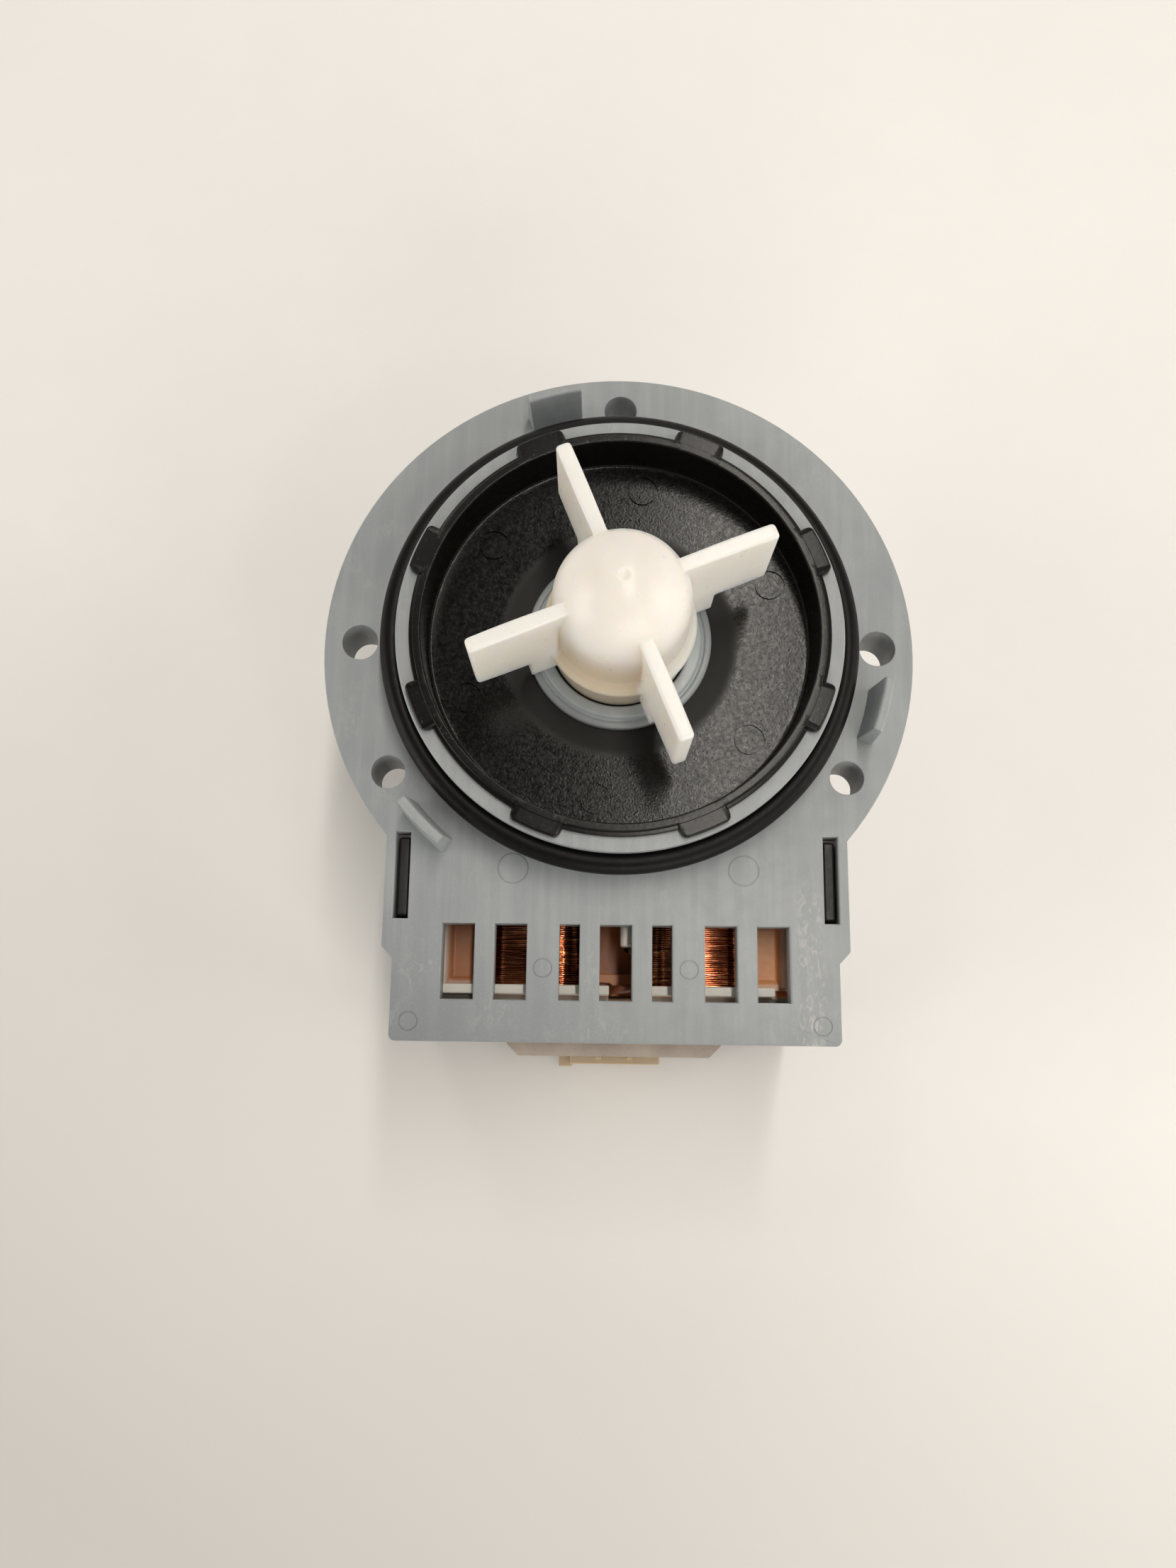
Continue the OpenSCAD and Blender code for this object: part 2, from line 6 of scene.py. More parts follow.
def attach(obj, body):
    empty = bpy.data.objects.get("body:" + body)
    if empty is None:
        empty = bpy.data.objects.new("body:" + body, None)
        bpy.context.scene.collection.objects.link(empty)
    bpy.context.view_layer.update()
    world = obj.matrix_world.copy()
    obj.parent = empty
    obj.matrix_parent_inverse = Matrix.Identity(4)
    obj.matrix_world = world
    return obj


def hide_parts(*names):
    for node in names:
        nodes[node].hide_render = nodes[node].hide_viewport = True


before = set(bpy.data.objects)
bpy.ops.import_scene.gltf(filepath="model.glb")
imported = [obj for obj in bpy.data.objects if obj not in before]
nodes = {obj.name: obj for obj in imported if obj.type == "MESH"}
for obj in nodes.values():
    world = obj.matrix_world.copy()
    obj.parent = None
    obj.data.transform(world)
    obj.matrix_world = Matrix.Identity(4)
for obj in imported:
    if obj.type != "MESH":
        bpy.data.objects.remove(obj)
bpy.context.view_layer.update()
sc = bpy.context.scene
MM = 0.001

# ---------------------------------------------------------------- camera
cam_d = bpy.data.cameras.new("cam")
cam = bpy.data.objects.new("cam", cam_d)
sc.collection.objects.link(cam)
rv = Vector((-0.20363877, -0.00142557, -0.01350604))
R = Matrix.Rotation(rv.length, 3, rv.normalized())     # world to camera
cam.matrix_world = Matrix.Translation(Vector((-4.104, -60.025, 182.086)) * MM) @ R.transposed().to_4x4()
cam_d.sensor_width = 36.0
cam_d.lens = 36.0 * 1664.18 / 2212.0
cam_d.clip_start = 0.005
sc.camera = cam
sc.view_settings.view_transform = "Standard"
sc.view_settings.look = "None"


# ---------------------------------------------------------------- mesh helpers (millimetres inside, metres at the end)
def finish_mesh(name, bm, smooth=32.0, weighted=True, scale=MM):
    """bmesh in millimetres to an object in metres, smooth shaded up to an angle."""
    bmesh.ops.recalc_face_normals(bm, faces=bm.faces)
    me = bpy.data.meshes.new(name)
    bm.to_mesh(me)
    bm.free()
    me.transform(Matrix.Scale(scale, 4))
    for p in me.polygons:
        p.use_smooth = True
    me.set_sharp_from_angle(angle=radians(smooth))
    ob = bpy.data.objects.new(name, me)
    sc.collection.objects.link(ob)
    if weighted:
        w = ob.modifiers.new("normals", "WEIGHTED_NORMAL")
        w.keep_sharp = True
        w.weight = 80
        bake(ob)
    return ob


def bake(ob):
    """Apply the object's modifiers to its mesh."""
    bpy.context.view_layer.update()
    dg = bpy.context.evaluated_depsgraph_get()
    me = bpy.data.meshes.new_from_object(ob.evaluated_get(dg), preserve_all_data_layers=True, depsgraph=dg)
    ob.modifiers.clear()
    old = ob.data
    ob.data = me
    bpy.data.meshes.remove(old)
    me.name = ob.name
    return ob


def cad_bm(node, dissolve=0.35):
    """A cleaned copy of a CAD node's mesh, in millimetres."""
    bm = bmesh.new()
    bm.from_mesh(nodes[node].data)
    for layer in list(bm.loops.layers.float_vector.values()):
        bm.loops.layers.float_vector.remove(layer)
    bmesh.ops.scale(bm, vec=(1000, 1000, 1000), verts=bm.verts)
    bmesh.ops.remove_doubles(bm, verts=bm.verts, dist=0.002)
    bmesh.ops.dissolve_degenerate(bm, dist=0.0005, edges=bm.edges)
    bmesh.ops.dissolve_limit(bm, angle_limit=radians(dissolve), use_dissolve_boundaries=False,
                             verts=bm.verts, edges=bm.edges)
    bmesh.ops.recalc_face_normals(bm, faces=bm.faces)
    return bm


def soften(bm, width, segs=2, angle=28.0, skip=None, concave=False):
    """Round the sharp convex edges of a mesh."""
    edges = []
    for e in bm.edges:
        if len(e.link_faces) != 2:
            continue
        a = e.calc_face_angle_signed(0.0)
        if abs(a) < radians(angle) or (a < 0 and not concave):
            continue
        if skip and skip(e):
            continue
        edges.append(e)
    if edges:
        bmesh.ops.bevel(bm, geom=edges, offset=width, offset_type="OFFSET", segments=segs, profile=0.5,
                        affect="EDGES", clamp_overlap=False, loop_slide=True, material=-1)
    return bm


def join_bm(parts):
    out = bmesh.new()
    for b in parts:
        me = bpy.data.meshes.new("part")
        b.to_mesh(me)
        b.free()
        out.from_mesh(me)
        bpy.data.meshes.remove(me)
    return out


def rounded(pts, seg=4):
    """Closed (r, z[, fillet]) outline with its corners rounded."""
    out = []
    n = len(pts)
    for i, p in enumerate(pts):
        rad = p[2] if len(p) > 2 else 0.0
        b = Vector((p[0], p[1]))
        if rad <= 0:
            out.append(b)
            continue
        a = Vector(pts[i - 1][:2])
        c = Vector(pts[(i + 1) % n][:2])
        u, v = (a - b), (c - b)
        lu, lv = u.length, v.length
        u, v = u / lu, v / lv
        ang = math.acos(max(-1, min(1, u.dot(v))))
        if ang > pi - 0.02:
            out += [b] * (seg + 1)
            continue
        d = min(rad / tan(ang / 2), 0.48 * lu, 0.48 * lv)
        r = d * tan(ang / 2)
        ctr = b + (u + v).normalized() * (r / sin(ang / 2))
        p0, p1 = b + u * d - ctr, b + v * d - ctr
        a0, a1 = atan2(p0.y, p0.x), atan2(p1.y, p1.x)
        da = (a1 - a0 + pi) % (2 * pi) - pi
        for k in range(seg + 1):
            t = a0 + da * k / seg
            out.append(ctr + Vector((cos(t), sin(t))) * r)
    return out


def sweep_rows(rows, close_u=True, close_v=True):
    """Quads between successive rows of points; both directions may close."""
    bm = bmesh.new()
    vs = [[bm.verts.new(p) for p in row] for row in rows]
    nu, nv = len(rows), len(rows[0])
    for i in range(nu if close_u else nu - 1):
        for j in range(nv if close_v else nv - 1):
            a, b = vs[i][j], vs[i][(j + 1) % nv]
            c, d = vs[(i + 1) % nu][(j + 1) % nv], vs[(i + 1) % nu][j]
            try:
                bm.faces.new((a, b, c, d))
            except ValueError:
                pass
    return bm


def lathe(profile, n=180):
    """Turn a closed (r, z) outline about the Z axis."""
    rows = []
    for i in range(n):
        t = 2 * pi * i / n
        rows.append([(max(p[0], 0) * cos(t), max(p[0], 0) * sin(t), p[1]) for p in profile])
    bm = sweep_rows(rows)
    bmesh.ops.remove_doubles(bm, verts=bm.verts, dist=1e-5)
    bmesh.ops.dissolve_degenerate(bm, dist=1e-5, edges=bm.edges)
    return bm


def tube(path, r, n=12, sub=6, wob=0.0, seed=0):
    """Smooth round wire through a list of points."""
    P = [Vector(p) for p in path]
    pts = []
    for i in range(len(P) - 1):
        p0 = P[i - 1] if i else P[0] * 2 - P[1]
        p1, p2 = P[i], P[i + 1]
        p3 = P[i + 2] if i + 2 < len(P) else P[-1] * 2 - P[-2]
        for k in range(sub):
            t = k / sub
            pts.append(0.5 * ((2 * p1) + (p2 - p0) * t + (2 * p0 - 5 * p1 + 4 * p2 - p3) * t * t
                              + (3 * p1 - p0 - 3 * p2 + p3) * t ** 3))
    pts.append(P[-1])
    rows = []
    nrm = None
    for i, p in enumerate(pts):
        d = (pts[min(i + 1, len(pts) - 1)] - pts[max(i - 1, 0)]).normalized()
        if nrm is None:
            nrm = d.orthogonal().normalized()
        nrm = (nrm - d * nrm.dot(d)).normalized()
        b = d.cross(nrm)
        rr = r * (1 + wob * mnoise.noise(Vector((i * 0.35, seed, 0))))
        rows.append([p + rr * (cos(2 * pi * k / n) * nrm + sin(2 * pi * k / n) * b) for k in range(n)])
    bm = sweep_rows(rows, close_u=False)
    bm.verts.ensure_lookup_table()
    m = len(rows)
    bm.faces.new([bm.verts[k] for k in range(n)])
    bm.faces.new([bm.verts[(m - 1) * n + k] for k in range(n - 1, -1, -1)])
    return bm


def prism(outline, z0, z1):
    """Closed slab from a plain outline without holes."""
    bm = bmesh.new()
    lo = [bm.verts.new((p[0], p[1], z0)) for p in outline]
    hi = [bm.verts.new((p[0], p[1], z1)) for p in outline]
    bm.faces.new(list(reversed(lo)))
    bm.faces.new(hi)
    n = len(outline)
    for i in range(n):
        bm.faces.new((lo[i], lo[(i + 1) % n], hi[(i + 1) % n], hi[i]))
    return bm


def cut(ob, cutter_bm):
    """Take a cutter away from an object, exactly."""
    me = bpy.data.meshes.new("cutter")
    bmesh.ops.recalc_face_normals(cutter_bm, faces=cutter_bm.faces)
    cutter_bm.to_mesh(me)
    cutter_bm.free()
    me.transform(Matrix.Scale(MM, 4))
    co = bpy.data.objects.new("cutter", me)
    sc.collection.objects.link(co)
    m = ob.modifiers.new("cut", "BOOLEAN")
    m.operation = "DIFFERENCE"
    m.solver = "EXACT"
    m.object = co
    bake(ob)
    bpy.data.objects.remove(co)
    bpy.data.meshes.remove(me)
    return ob


# ---------------------------------------------------------------- material helpers
class Mat:
    """Principled material on millimetre object coordinates."""

    def __init__(self, name, **sockets):
        self.m = bpy.data.materials.new(name)
        self.m.use_nodes = True
        self.nt = self.m.node_tree
        self.nt.nodes.clear()
        out = self.n("OutputMaterial")
        self.bs = self.n("BsdfPrincipled")
        self.link(self.bs.outputs[0], out.inputs[0])
        tc = self.n("TexCoord")
        mp = self.n("Mapping")
        mp.inputs["Scale"].default_value = (1000, 1000, 1000)
        self.link(tc.outputs["Object"], mp.inputs["Vector"])
        self.co = mp.outputs[0]
        for k, v in sockets.items():
            self.bs.inputs[k.replace("_", " ")].default_value = v

    def n(self, kind):
        return self.nt.nodes.new("ShaderNode" + kind)

    def link(self, a, b):
        self.nt.links.new(a, b)

    def stretch(self, s, rot=(0, 0, 0)):
        mp = self.n("Mapping")
        mp.inputs["Scale"].default_value = s
        mp.inputs["Rotation"].default_value = rot
        self.link(self.co, mp.inputs["Vector"])
        return mp.outputs[0]

    def noise(self, scale, detail=3.0, rough=0.5, dist=0.0, vec=None):
        t = self.n("TexNoise")
        t.inputs["Scale"].default_value = scale
        t.inputs["Detail"].default_value = detail
        t.inputs["Roughness"].default_value = rough
        t.inputs["Distortion"].default_value = dist
        self.link(vec or self.co, t.inputs["Vector"])
        return t.outputs["Fac"]

    def voronoi(self, scale, feature="F1", vec=None, rand=1.0):
        t = self.n("TexVoronoi")
        t.feature = feature
        t.inputs["Scale"].default_value = scale
        t.inputs["Randomness"].default_value = rand
        self.link(vec or self.co, t.inputs["Vector"])
        return t.outputs["Distance"]

    def ramp(self, fac, stops):
        r = self.n("ValToRGB")
        el = r.color_ramp.elements
        while len(el) < len(stops):
            el.new(0.5)
        for e, (p, c) in zip(el, stops):
            e.position = p
            c = (c, c, c) if isinstance(c, (int, float)) else c
            e.color = (c[0], c[1], c[2], 1)
        self.link(fac, r.inputs[0])
        return r.outputs[0]

    def range(self, v, a, b, c=0.0, d=1.0, smooth=False):
        r = self.n("MapRange")
        if smooth:
            r.interpolation_type = "SMOOTHSTEP"
        for i, x in zip((1, 2, 3, 4), (a, b, c, d)):
            r.inputs[i].default_value = x
        self.link(v, r.inputs[0])
        return r.outputs[0]

    def math(self, op, a, b=None):
        m = self.n("Math")
        m.operation = op
        for i, x in enumerate((a, b)):
            if x is None:
                continue
            if isinstance(x, (int, float)):
                m.inputs[i].default_value = x
            else:
                self.link(x, m.inputs[i])
        return m.outputs[0]

    def mix(self, fac, a, b, kind="MIX"):
        m = self.n("Mix")
        m.data_type = "RGBA"
        m.blend_type = kind
        for i, x in ((0, fac), (6, a), (7, b)):
            if isinstance(x, (int, float)):
                m.inputs[i].default_value = x
            elif isinstance(x, (tuple, list)):
                m.inputs[i].default_value = (x[0], x[1], x[2], 1)
            else:
                self.link(x, m.inputs[i])
        return m.outputs[2]

    def xyz(self):
        s = self.n("SeparateXYZ")
        self.link(self.co, s.inputs[0])
        return s.outputs

    def radius(self):
        x, y, _ = self.xyz()
        return self.math("SQRT", self.math("ADD", self.math("MULTIPLY", x, x), self.math("MULTIPLY", y, y)))

    def bump(self, h, dist_mm, strength=1.0, normal=None):
        b = self.n("Bump")
        b.inputs["Strength"].default_value = strength
        b.inputs["Distance"].default_value = dist_mm * MM
        self.link(h, b.inputs["Height"])
        if normal is not None:
            self.link(normal, b.inputs["Normal"])
        return b.outputs[0]

    def color(self, s):
        self.link(s, self.bs.inputs["Base Color"])
        return self

    def rough(self, s):
        self.link(s, self.bs.inputs["Roughness"])
        return self

    def normal(self, s):
        self.link(s, self.bs.inputs["Normal"])
        return self


# ---------------------------------------------------------------- materials
def gray_plastic():
    m = Mat("gray_plastic")
    x, y, z = m.xyz()
    broad = m.ramp(m.noise(0.055, 3, 0.55), [(0.32, (0.292, 0.318, 0.338)), (0.68, (0.328, 0.352, 0.370))])
    # faint flow streaks along the coil box
    flow = m.noise(1.0, 3, 0.6, vec=m.stretch((0.50, 0.03, 0.2)))
    c = m.mix(m.range(flow, 0.42, 0.62, 0.0, 0.55), broad, (0.372, 0.396, 0.412))
    # painted shade: the plate darkens towards its lower edge and its left, where less light falls
    shade_falloff = m.math("ADD", m.math("MULTIPLY", x, 0.3), y)
    c = m.mix(m.range(shade_falloff, -48.0, -72.0, 0.0, 0.8), c, (0.205, 0.224, 0.238))
    fleck = m.noise(2.6, 2, 0.6)
    c = m.mix(m.range(fleck, 0.56, 0.74, 0.0, 0.30), c, (0.385, 0.405, 0.410))
    c = m.mix(m.range(fleck, 0.42, 0.26, 0.0, 0.30), c, (0.250, 0.272, 0.285))
    # handling scuffs: short pale strokes, most of them beside the right window
    strokes = m.noise(1.0, 4, 0.7, 1.2, vec=m.stretch((1.0, 0.42, 1.0), (0, 0, radians(12))))
    band = m.math("MULTIPLY", m.range(m.math("ABSOLUTE", m.math("SUBTRACT", x, 29.8)), 3.0, 0.9, 0, 1, True),
                  m.range(y, -36.0, -43.0, 0, 1, True))
    few = m.range(m.noise(0.11, 2, 0.5), 0.52, 0.68, 0.0, 0.30)
    mask = m.math("MULTIPLY", m.range(strokes, 0.49, 0.60, 0, 1), m.math("MAXIMUM", band, few))
    mask = m.math("MULTIPLY", mask, m.range(z, -2.0, -0.5, 0, 0.85))
    c = m.mix(mask, c, (0.50, 0.51, 0.505))
    m.color(c)
    m.rough(m.math("ADD", m.range(m.noise(0.35, 3, 0.6), 0.3, 0.7, 0.36, 0.46), m.math("MULTIPLY", mask, 0.16)))
    n1 = m.bump(m.noise(5.5, 2, 0.5), 0.012, 0.6)
    n2 = m.bump(m.noise(0.55, 2, 0.5), 0.05, 0.45, n1)
    m.normal(m.bump(mask, 0.03, 0.5, n2))
    return m.m


def dish_plastic():
    m = Mat("dish_plastic")
    r = m.radius()
    _, _, z = m.xyz()
    floor_mask = m.math("MULTIPLY", m.range(r, 17.4, 19.6, 0, 1, True), m.range(z, 4.3, 3.8, 0, 1))
    grain = m.noise(2.6, 2, 0.6)
    spark = m.voronoi(2.1)
    fleck = m.math("MULTIPLY", m.range(spark, 0.34, 0.12, 0, 1), floor_mask)
    cloud = m.range(m.noise(0.16, 2, 0.5), 0.35, 0.7, 0.35, 1.0)
    base = m.ramp(m.noise(0.7, 3, 0.6), [(0.3, (0.0046, 0.0043, 0.0041)), (0.75, (0.0076, 0.0071, 0.0067))])
    c = m.mix(m.math("MULTIPLY", m.math("MULTIPLY", fleck, cloud), 0.4), base, (0.034, 0.032, 0.031))
    wear = m.math("MULTIPLY", m.range(m.noise(1.5, 4, 0.7), 0.60, 0.72, 0, 1), m.range(z, 10.5, 10.95, 0, 0.6))
    c = m.mix(wear, c, (0.10, 0.095, 0.09))
    m.color(c)
    ring = m.math("MULTIPLY", m.range(r, 19.4, 17.4, 0, 1, True), m.range(z, 4.3, 3.8, 0, 1))
    mottle = m.math("MULTIPLY", m.range(m.noise(1.5, 3, 0.65), 0.36, 0.64, -0.06, 0.07), floor_mask)
    gloss = m.math("ADD", m.range(floor_mask, 0, 1, 0.25, 0.21), m.math("MULTIPLY", ring, 0.25))
    m.rough(m.math("ADD", gloss, mottle))
    h = m.math("MULTIPLY", grain, m.range(floor_mask, 0, 1, 0.12, 1.0))
    n1 = m.bump(h, 0.03, 0.8)
    m.normal(m.bump(m.noise(0.9, 3, 0.6), 0.05, 0.30, n1))
    m.bs.inputs["Specular IOR Level"].default_value = 0.27
    return m.m


def rubber():
    m = Mat("o_ring_rubber")
    m.color(m.ramp(m.noise(0.5, 3, 0.6), [(0.3, (0.0015, 0.0014, 0.0015)), (0.75, (0.0030, 0.0028, 0.0028))]))
    m.rough(m.range(m.noise(1.3, 3, 0.6), 0.3, 0.7, 0.38, 0.50))
    m.normal(m.bump(m.noise(7.0, 2, 0.5), 0.01, 0.6))
    m.bs.inputs["Specular IOR Level"].default_value = 0.2
    return m.m


def dark_rubber():
    m = Mat("seal_rubber")
    m.color(m.ramp(m.noise(1.2, 3, 0.6), [(0.3, (0.010, 0.010, 0.011)), (0.75, (0.020, 0.020, 0.021))]))
    m.rough(m.range(m.noise(2.0, 3, 0.6), 0.3, 0.7, 0.48, 0.62))
    m.normal(m.bump(m.noise(6.0, 2, 0.5), 0.012, 0.6))
    return m.m


def pale_gray():
    m = Mat("pale_gray_plastic")
    c = m.ramp(m.noise(0.6, 3, 0.55), [(0.3, (0.385, 0.425, 0.450)), (0.75, (0.430, 0.468, 0.490))])
    m.color(m.mix(m.range(m.radius(), 13.35, 13.75, 0, 0.8, True), c, (0.24, 0.265, 0.28)))
    m.rough(m.range(m.noise(1.6, 3, 0.6), 0.3, 0.7, 0.27, 0.36))
    m.normal(m.bump(m.noise(4.0, 2, 0.5), 0.008, 0.5))
    return m.m


def white_plastic():
    m = Mat("white_plastic", Subsurface_Weight=0.9, Subsurface_Scale=0.0048)
    m.bs.inputs["Subsurface Radius"].default_value = (1.0, 0.72, 0.46)
    x, y, z = m.xyz()
    r = m.radius()
    # painted shade: the hub's lower dome and skirt are tinted warm and dark as shade, strongest at its front left and
    # weak at its right
    across = m.math("ADD", m.math("MULTIPLY", x, 0.75), m.math("MULTIPLY", y, 0.65))
    hub_shade_side = m.range(across, 0.5, -5.0, 0.3, 1, True)
    near_hub = m.range(r, 13.2, 12.0, 0, 1, True)
    sep = m.n("SeparateXYZ")
    m.link(m.stretch((1, 1, 1), (0, 0, radians(-22.35))), sep.inputs[0])
    off = m.math("MINIMUM", m.math("ABSOLUTE", sep.outputs[0]), m.math("ABSOLUTE", sep.outputs[1]))
    vane = m.math("MULTIPLY", m.range(off, 2.1, 1.3, 0, 1, True), m.range(r, 10.2, 11.0, 0, 1, True))
    near_hub = m.math("MULTIPLY", near_hub, m.math("SUBTRACT", 1.0, vane))
    near_hub = m.math("MULTIPLY", near_hub, hub_shade_side)
    # painted shade: warm tan low on the dome, grey-brown on the skirt under the lip
    low_dome_shade = m.math("MULTIPLY", m.range(z, 25.5, 17.0, 0, 1, True), near_hub)
    skirt_shade = m.math("MULTIPLY", m.range(z, 12.4, 9.0, 0, 1, True), m.range(r, 11.2, 10.9, 0, 1, True))
    base = m.ramp(m.noise(0.22, 3, 0.5), [(0.3, (0.865, 0.838, 0.805)), (0.75, (0.890, 0.864, 0.835))])
    c = m.mix(m.math("MULTIPLY", low_dome_shade, 0.78), base, (0.74, 0.59, 0.41))
    m.color(m.mix(m.math("MULTIPLY", skirt_shade, m.math("MULTIPLY", hub_shade_side, 0.7)), c, (0.49, 0.42, 0.34)))
    m.rough(m.range(m.noise(0.8, 3, 0.6), 0.3, 0.7, 0.27, 0.36))
    n1 = m.bump(m.noise(0.7, 2, 0.5), 0.035, 0.5)
    m.normal(m.bump(m.noise(6.0, 2, 0.5), 0.006, 0.5, n1))
    return m.m


def ivory():
    m = Mat("ivory_plastic", Subsurface_Weight=0.12, Subsurface_Scale=0.0015)
    m.bs.inputs["Subsurface Radius"].default_value = (1.0, 0.6, 0.35)
    m.color(m.ramp(m.noise(0.35, 3, 0.55), [(0.3, (0.50, 0.39, 0.255)), (0.75, (0.56, 0.45, 0.31))]))
    m.rough(m.range(m.noise(1.1, 3, 0.6), 0.3, 0.7, 0.36, 0.48))
    m.normal(m.bump(m.noise(4.0, 2, 0.5), 0.012, 0.6))
    return m.m


def bobbin_plastic():
    m = Mat("bobbin_plastic", Subsurface_Weight=0.15, Subsurface_Scale=0.0015)
    m.bs.inputs["Subsurface Radius"].default_value = (1.0, 0.6, 0.35)
    x, y, z = m.xyz()
    pale = m.ramp(m.noise(0.35, 3, 0.55), [(0.3, (0.84, 0.81, 0.74)), (0.75, (0.90, 0.87, 0.80))])
    # painted light and shade: the guards' tan is darker on the left and brighter on the right
    tan_left_shaded = m.ramp(m.noise(0.3, 3, 0.55), [(0.3, (0.46, 0.160, 0.057)), (0.75, (0.52, 0.190, 0.072))])
    tan_right_lit = m.ramp(m.noise(0.3, 3, 0.55), [(0.3, (0.85, 0.33, 0.120)), (0.75, (0.91, 0.39, 0.150))])
    tan_ = m.mix(m.range(x, -24.0, 24.0, 0, 1), tan_left_shaded, tan_right_lit)
    c = m.mix(m.range(z, -6.0, -7.9, 0, 1, True), pale, tan_)
    # darker web between the windings; painted shade on the lip in front of the end flange
    c = m.mix(m.range(z, -15.2, -16.2, 0, 1), c, (0.46, 0.150, 0.045))
    # painted shade: the lip is ivory plastic coloured grey-brown where shade falls
    lip = m.math("MULTIPLY", m.range(y, -54.9, -55.15, 0, 1), m.range(z, -8.0, -8.5, 0, 1))
    c = m.mix(lip, c, (0.30, 0.265, 0.23))
    m.color(c)
    m.rough(m.range(m.noise(1.1, 3, 0.6), 0.3, 0.7, 0.36, 0.48))
    m.normal(m.bump(m.noise(4.0, 2, 0.5), 0.012, 0.6))
    return m.m


def black_plastic():
    m = Mat("black_plastic")
    m.color(m.ramp(m.noise(0.5, 3, 0.6), [(0.3, (0.0065, 0.0065, 0.0068)), (0.75, (0.0115, 0.0115, 0.0118))]))
    m.rough(m.range(m.noise(0.9, 3, 0.6), 0.3, 0.7, 0.38, 0.52))
    n1 = m.bump(m.noise(3.2, 3, 0.6), 0.03, 0.7)
    m.normal(m.bump(m.noise(0.4, 2, 0.5), 0.06, 0.4, n1))
    return m.m


def dark_plastic():
    m = Mat("dark_gray_plastic")
    m.color(m.ramp(m.noise(0.9, 3, 0.6), [(0.3, (0.055, 0.056, 0.060)), (0.75, (0.082, 0.083, 0.088))]))
    m.rough(m.range(m.noise(1.3, 3, 0.6), 0.3, 0.7, 0.40, 0.55))
    m.normal(m.bump(m.noise(3.0, 3, 0.6), 0.02, 0.6))
    return m.m


def copper(name, seed):
    m = Mat(name, Metallic=1.0)
    along = m.noise(1.0, 3, 0.6, vec=m.stretch((0.18, 3.3, 0.18), (0, 0, 0)))
    c = m.ramp(along, [(0.30, (0.15, 0.032, 0.008)), (0.52, (0.36, 0.105, 0.031)), (0.75, (0.92, 0.58, 0.300))])
    blot = m.noise(0.33 + 0.01 * seed, 3, 0.6)
    c = m.mix(m.range(blot, 0.5, 0.72, 0, 0.6), c, (0.22, 0.052, 0.016))
    m.color(c)
    m.rough(m.range(along, 0.3, 0.7, 0.09, 0.14))
    m.normal(m.bump(m.noise(4.0, 2, 0.5, vec=m.stretch((0.25, 1, 0.25))), 0.01, 0.5))
    m.bs.inputs["Coat Weight"].default_value = 0.8
    m.bs.inputs["Coat Roughness"].default_value = 0.10
    return m.m


def lead_sleeve():
    m = Mat("lead_sleeve")
    m.color(m.ramp(m.noise(0.9, 3, 0.6), [(0.3, (0.115, 0.035, 0.016)), (0.75, (0.19, 0.062, 0.028))]))
    m.rough(m.range(m.noise(2.0, 3, 0.6), 0.3, 0.7, 0.30, 0.46))
    m.normal(m.bump(m.noise(5.0, 2, 0.5), 0.02, 0.6))
    return m.m


def steel_sheet():
    m = Mat("lamination_steel", Metallic=0.3)
    fine = m.noise(3.4, 4, 0.65)
    c = m.ramp(m.noise(0.25, 3, 0.55), [(0.3, (0.44, 0.375, 0.32)), (0.75, (0.56, 0.485, 0.42))])
    c = m.mix(m.range(fine, 0.55, 0.72, 0, 0.55), c, (0.68, 0.60, 0.53))
    c = m.mix(m.range(fine, 0.44, 0.30, 0, 0.5), c, (0.30, 0.25, 0.215))
    rust = m.range(m.noise(0.6, 4, 0.7), 0.60, 0.78, 0, 0.5)
    c = m.mix(rust, c, (0.24, 0.145, 0.085))
    m.color(c)
    m.rough(m.range(fine, 0.3, 0.7, 0.42, 0.60))
    m.normal(m.bump(fine, 0.02, 0.6))
    return m.m


def ground_steel():
    m = Mat("ground_steel", Metallic=1.0)
    lines = m.noise(1.0, 3, 0.6, vec=m.stretch((0.6, 0.6, 9.0)))
    m.color(m.ramp(lines, [(0.3, (0.52, 0.52, 0.53)), (0.75, (0.66, 0.66, 0.66))]))
    m.rough(m.range(lines, 0.3, 0.7, 0.18, 0.30))
    m.normal(m.bump(lines, 0.004, 0.6))
    return m.m


def bronze():
    m = Mat("sintered_bronze", Metallic=1.0)
    pores = m.voronoi(2.6)
    c = m.ramp(m.noise(1.2, 3, 0.6), [(0.3, (0.33, 0.22, 0.11)), (0.75, (0.45, 0.31, 0.165))])
    m.color(m.mix(m.range(pores, 0.22, 0.08, 0, 0.75), c, (0.09, 0.06, 0.035)))
    m.rough(m.range(m.noise(2.0, 3, 0.6), 0.3, 0.7, 0.42, 0.58))
    m.normal(m.bump(m.range(pores, 0.05, 0.25, 0, 1), 0.03, 0.6))
    return m.m


def ferrite():
    m = Mat("ferrite")
    g = m.noise(4.5, 3, 0.6)
    c = m.ramp(m.noise(0.8, 3, 0.6), [(0.3, (0.030, 0.030, 0.032)), (0.75, (0.055, 0.055, 0.058))])
    m.color(m.mix(m.range(g, 0.6, 0.75, 0, 0.6), c, (0.11, 0.11, 0.115)))
    m.rough(m.range(g, 0.3, 0.7, 0.48, 0.62))
    m.normal(m.bump(g, 0.02, 0.6))
    m.bs.inputs["Specular IOR Level"].default_value = 0.6
    return m.m


def ceramic():
    m = Mat("fuse_ceramic")
    m.color(m.ramp(m.noise(0.7, 3, 0.6), [(0.3, (0.80, 0.74, 0.66)), (0.75, (0.87, 0.82, 0.74))]))
    m.rough(m.range(m.noise(1.5, 3, 0.6), 0.3, 0.7, 0.22, 0.34))
    m.normal(m.bump(m.noise(3.0, 2, 0.5), 0.01, 0.5))
    return m.m


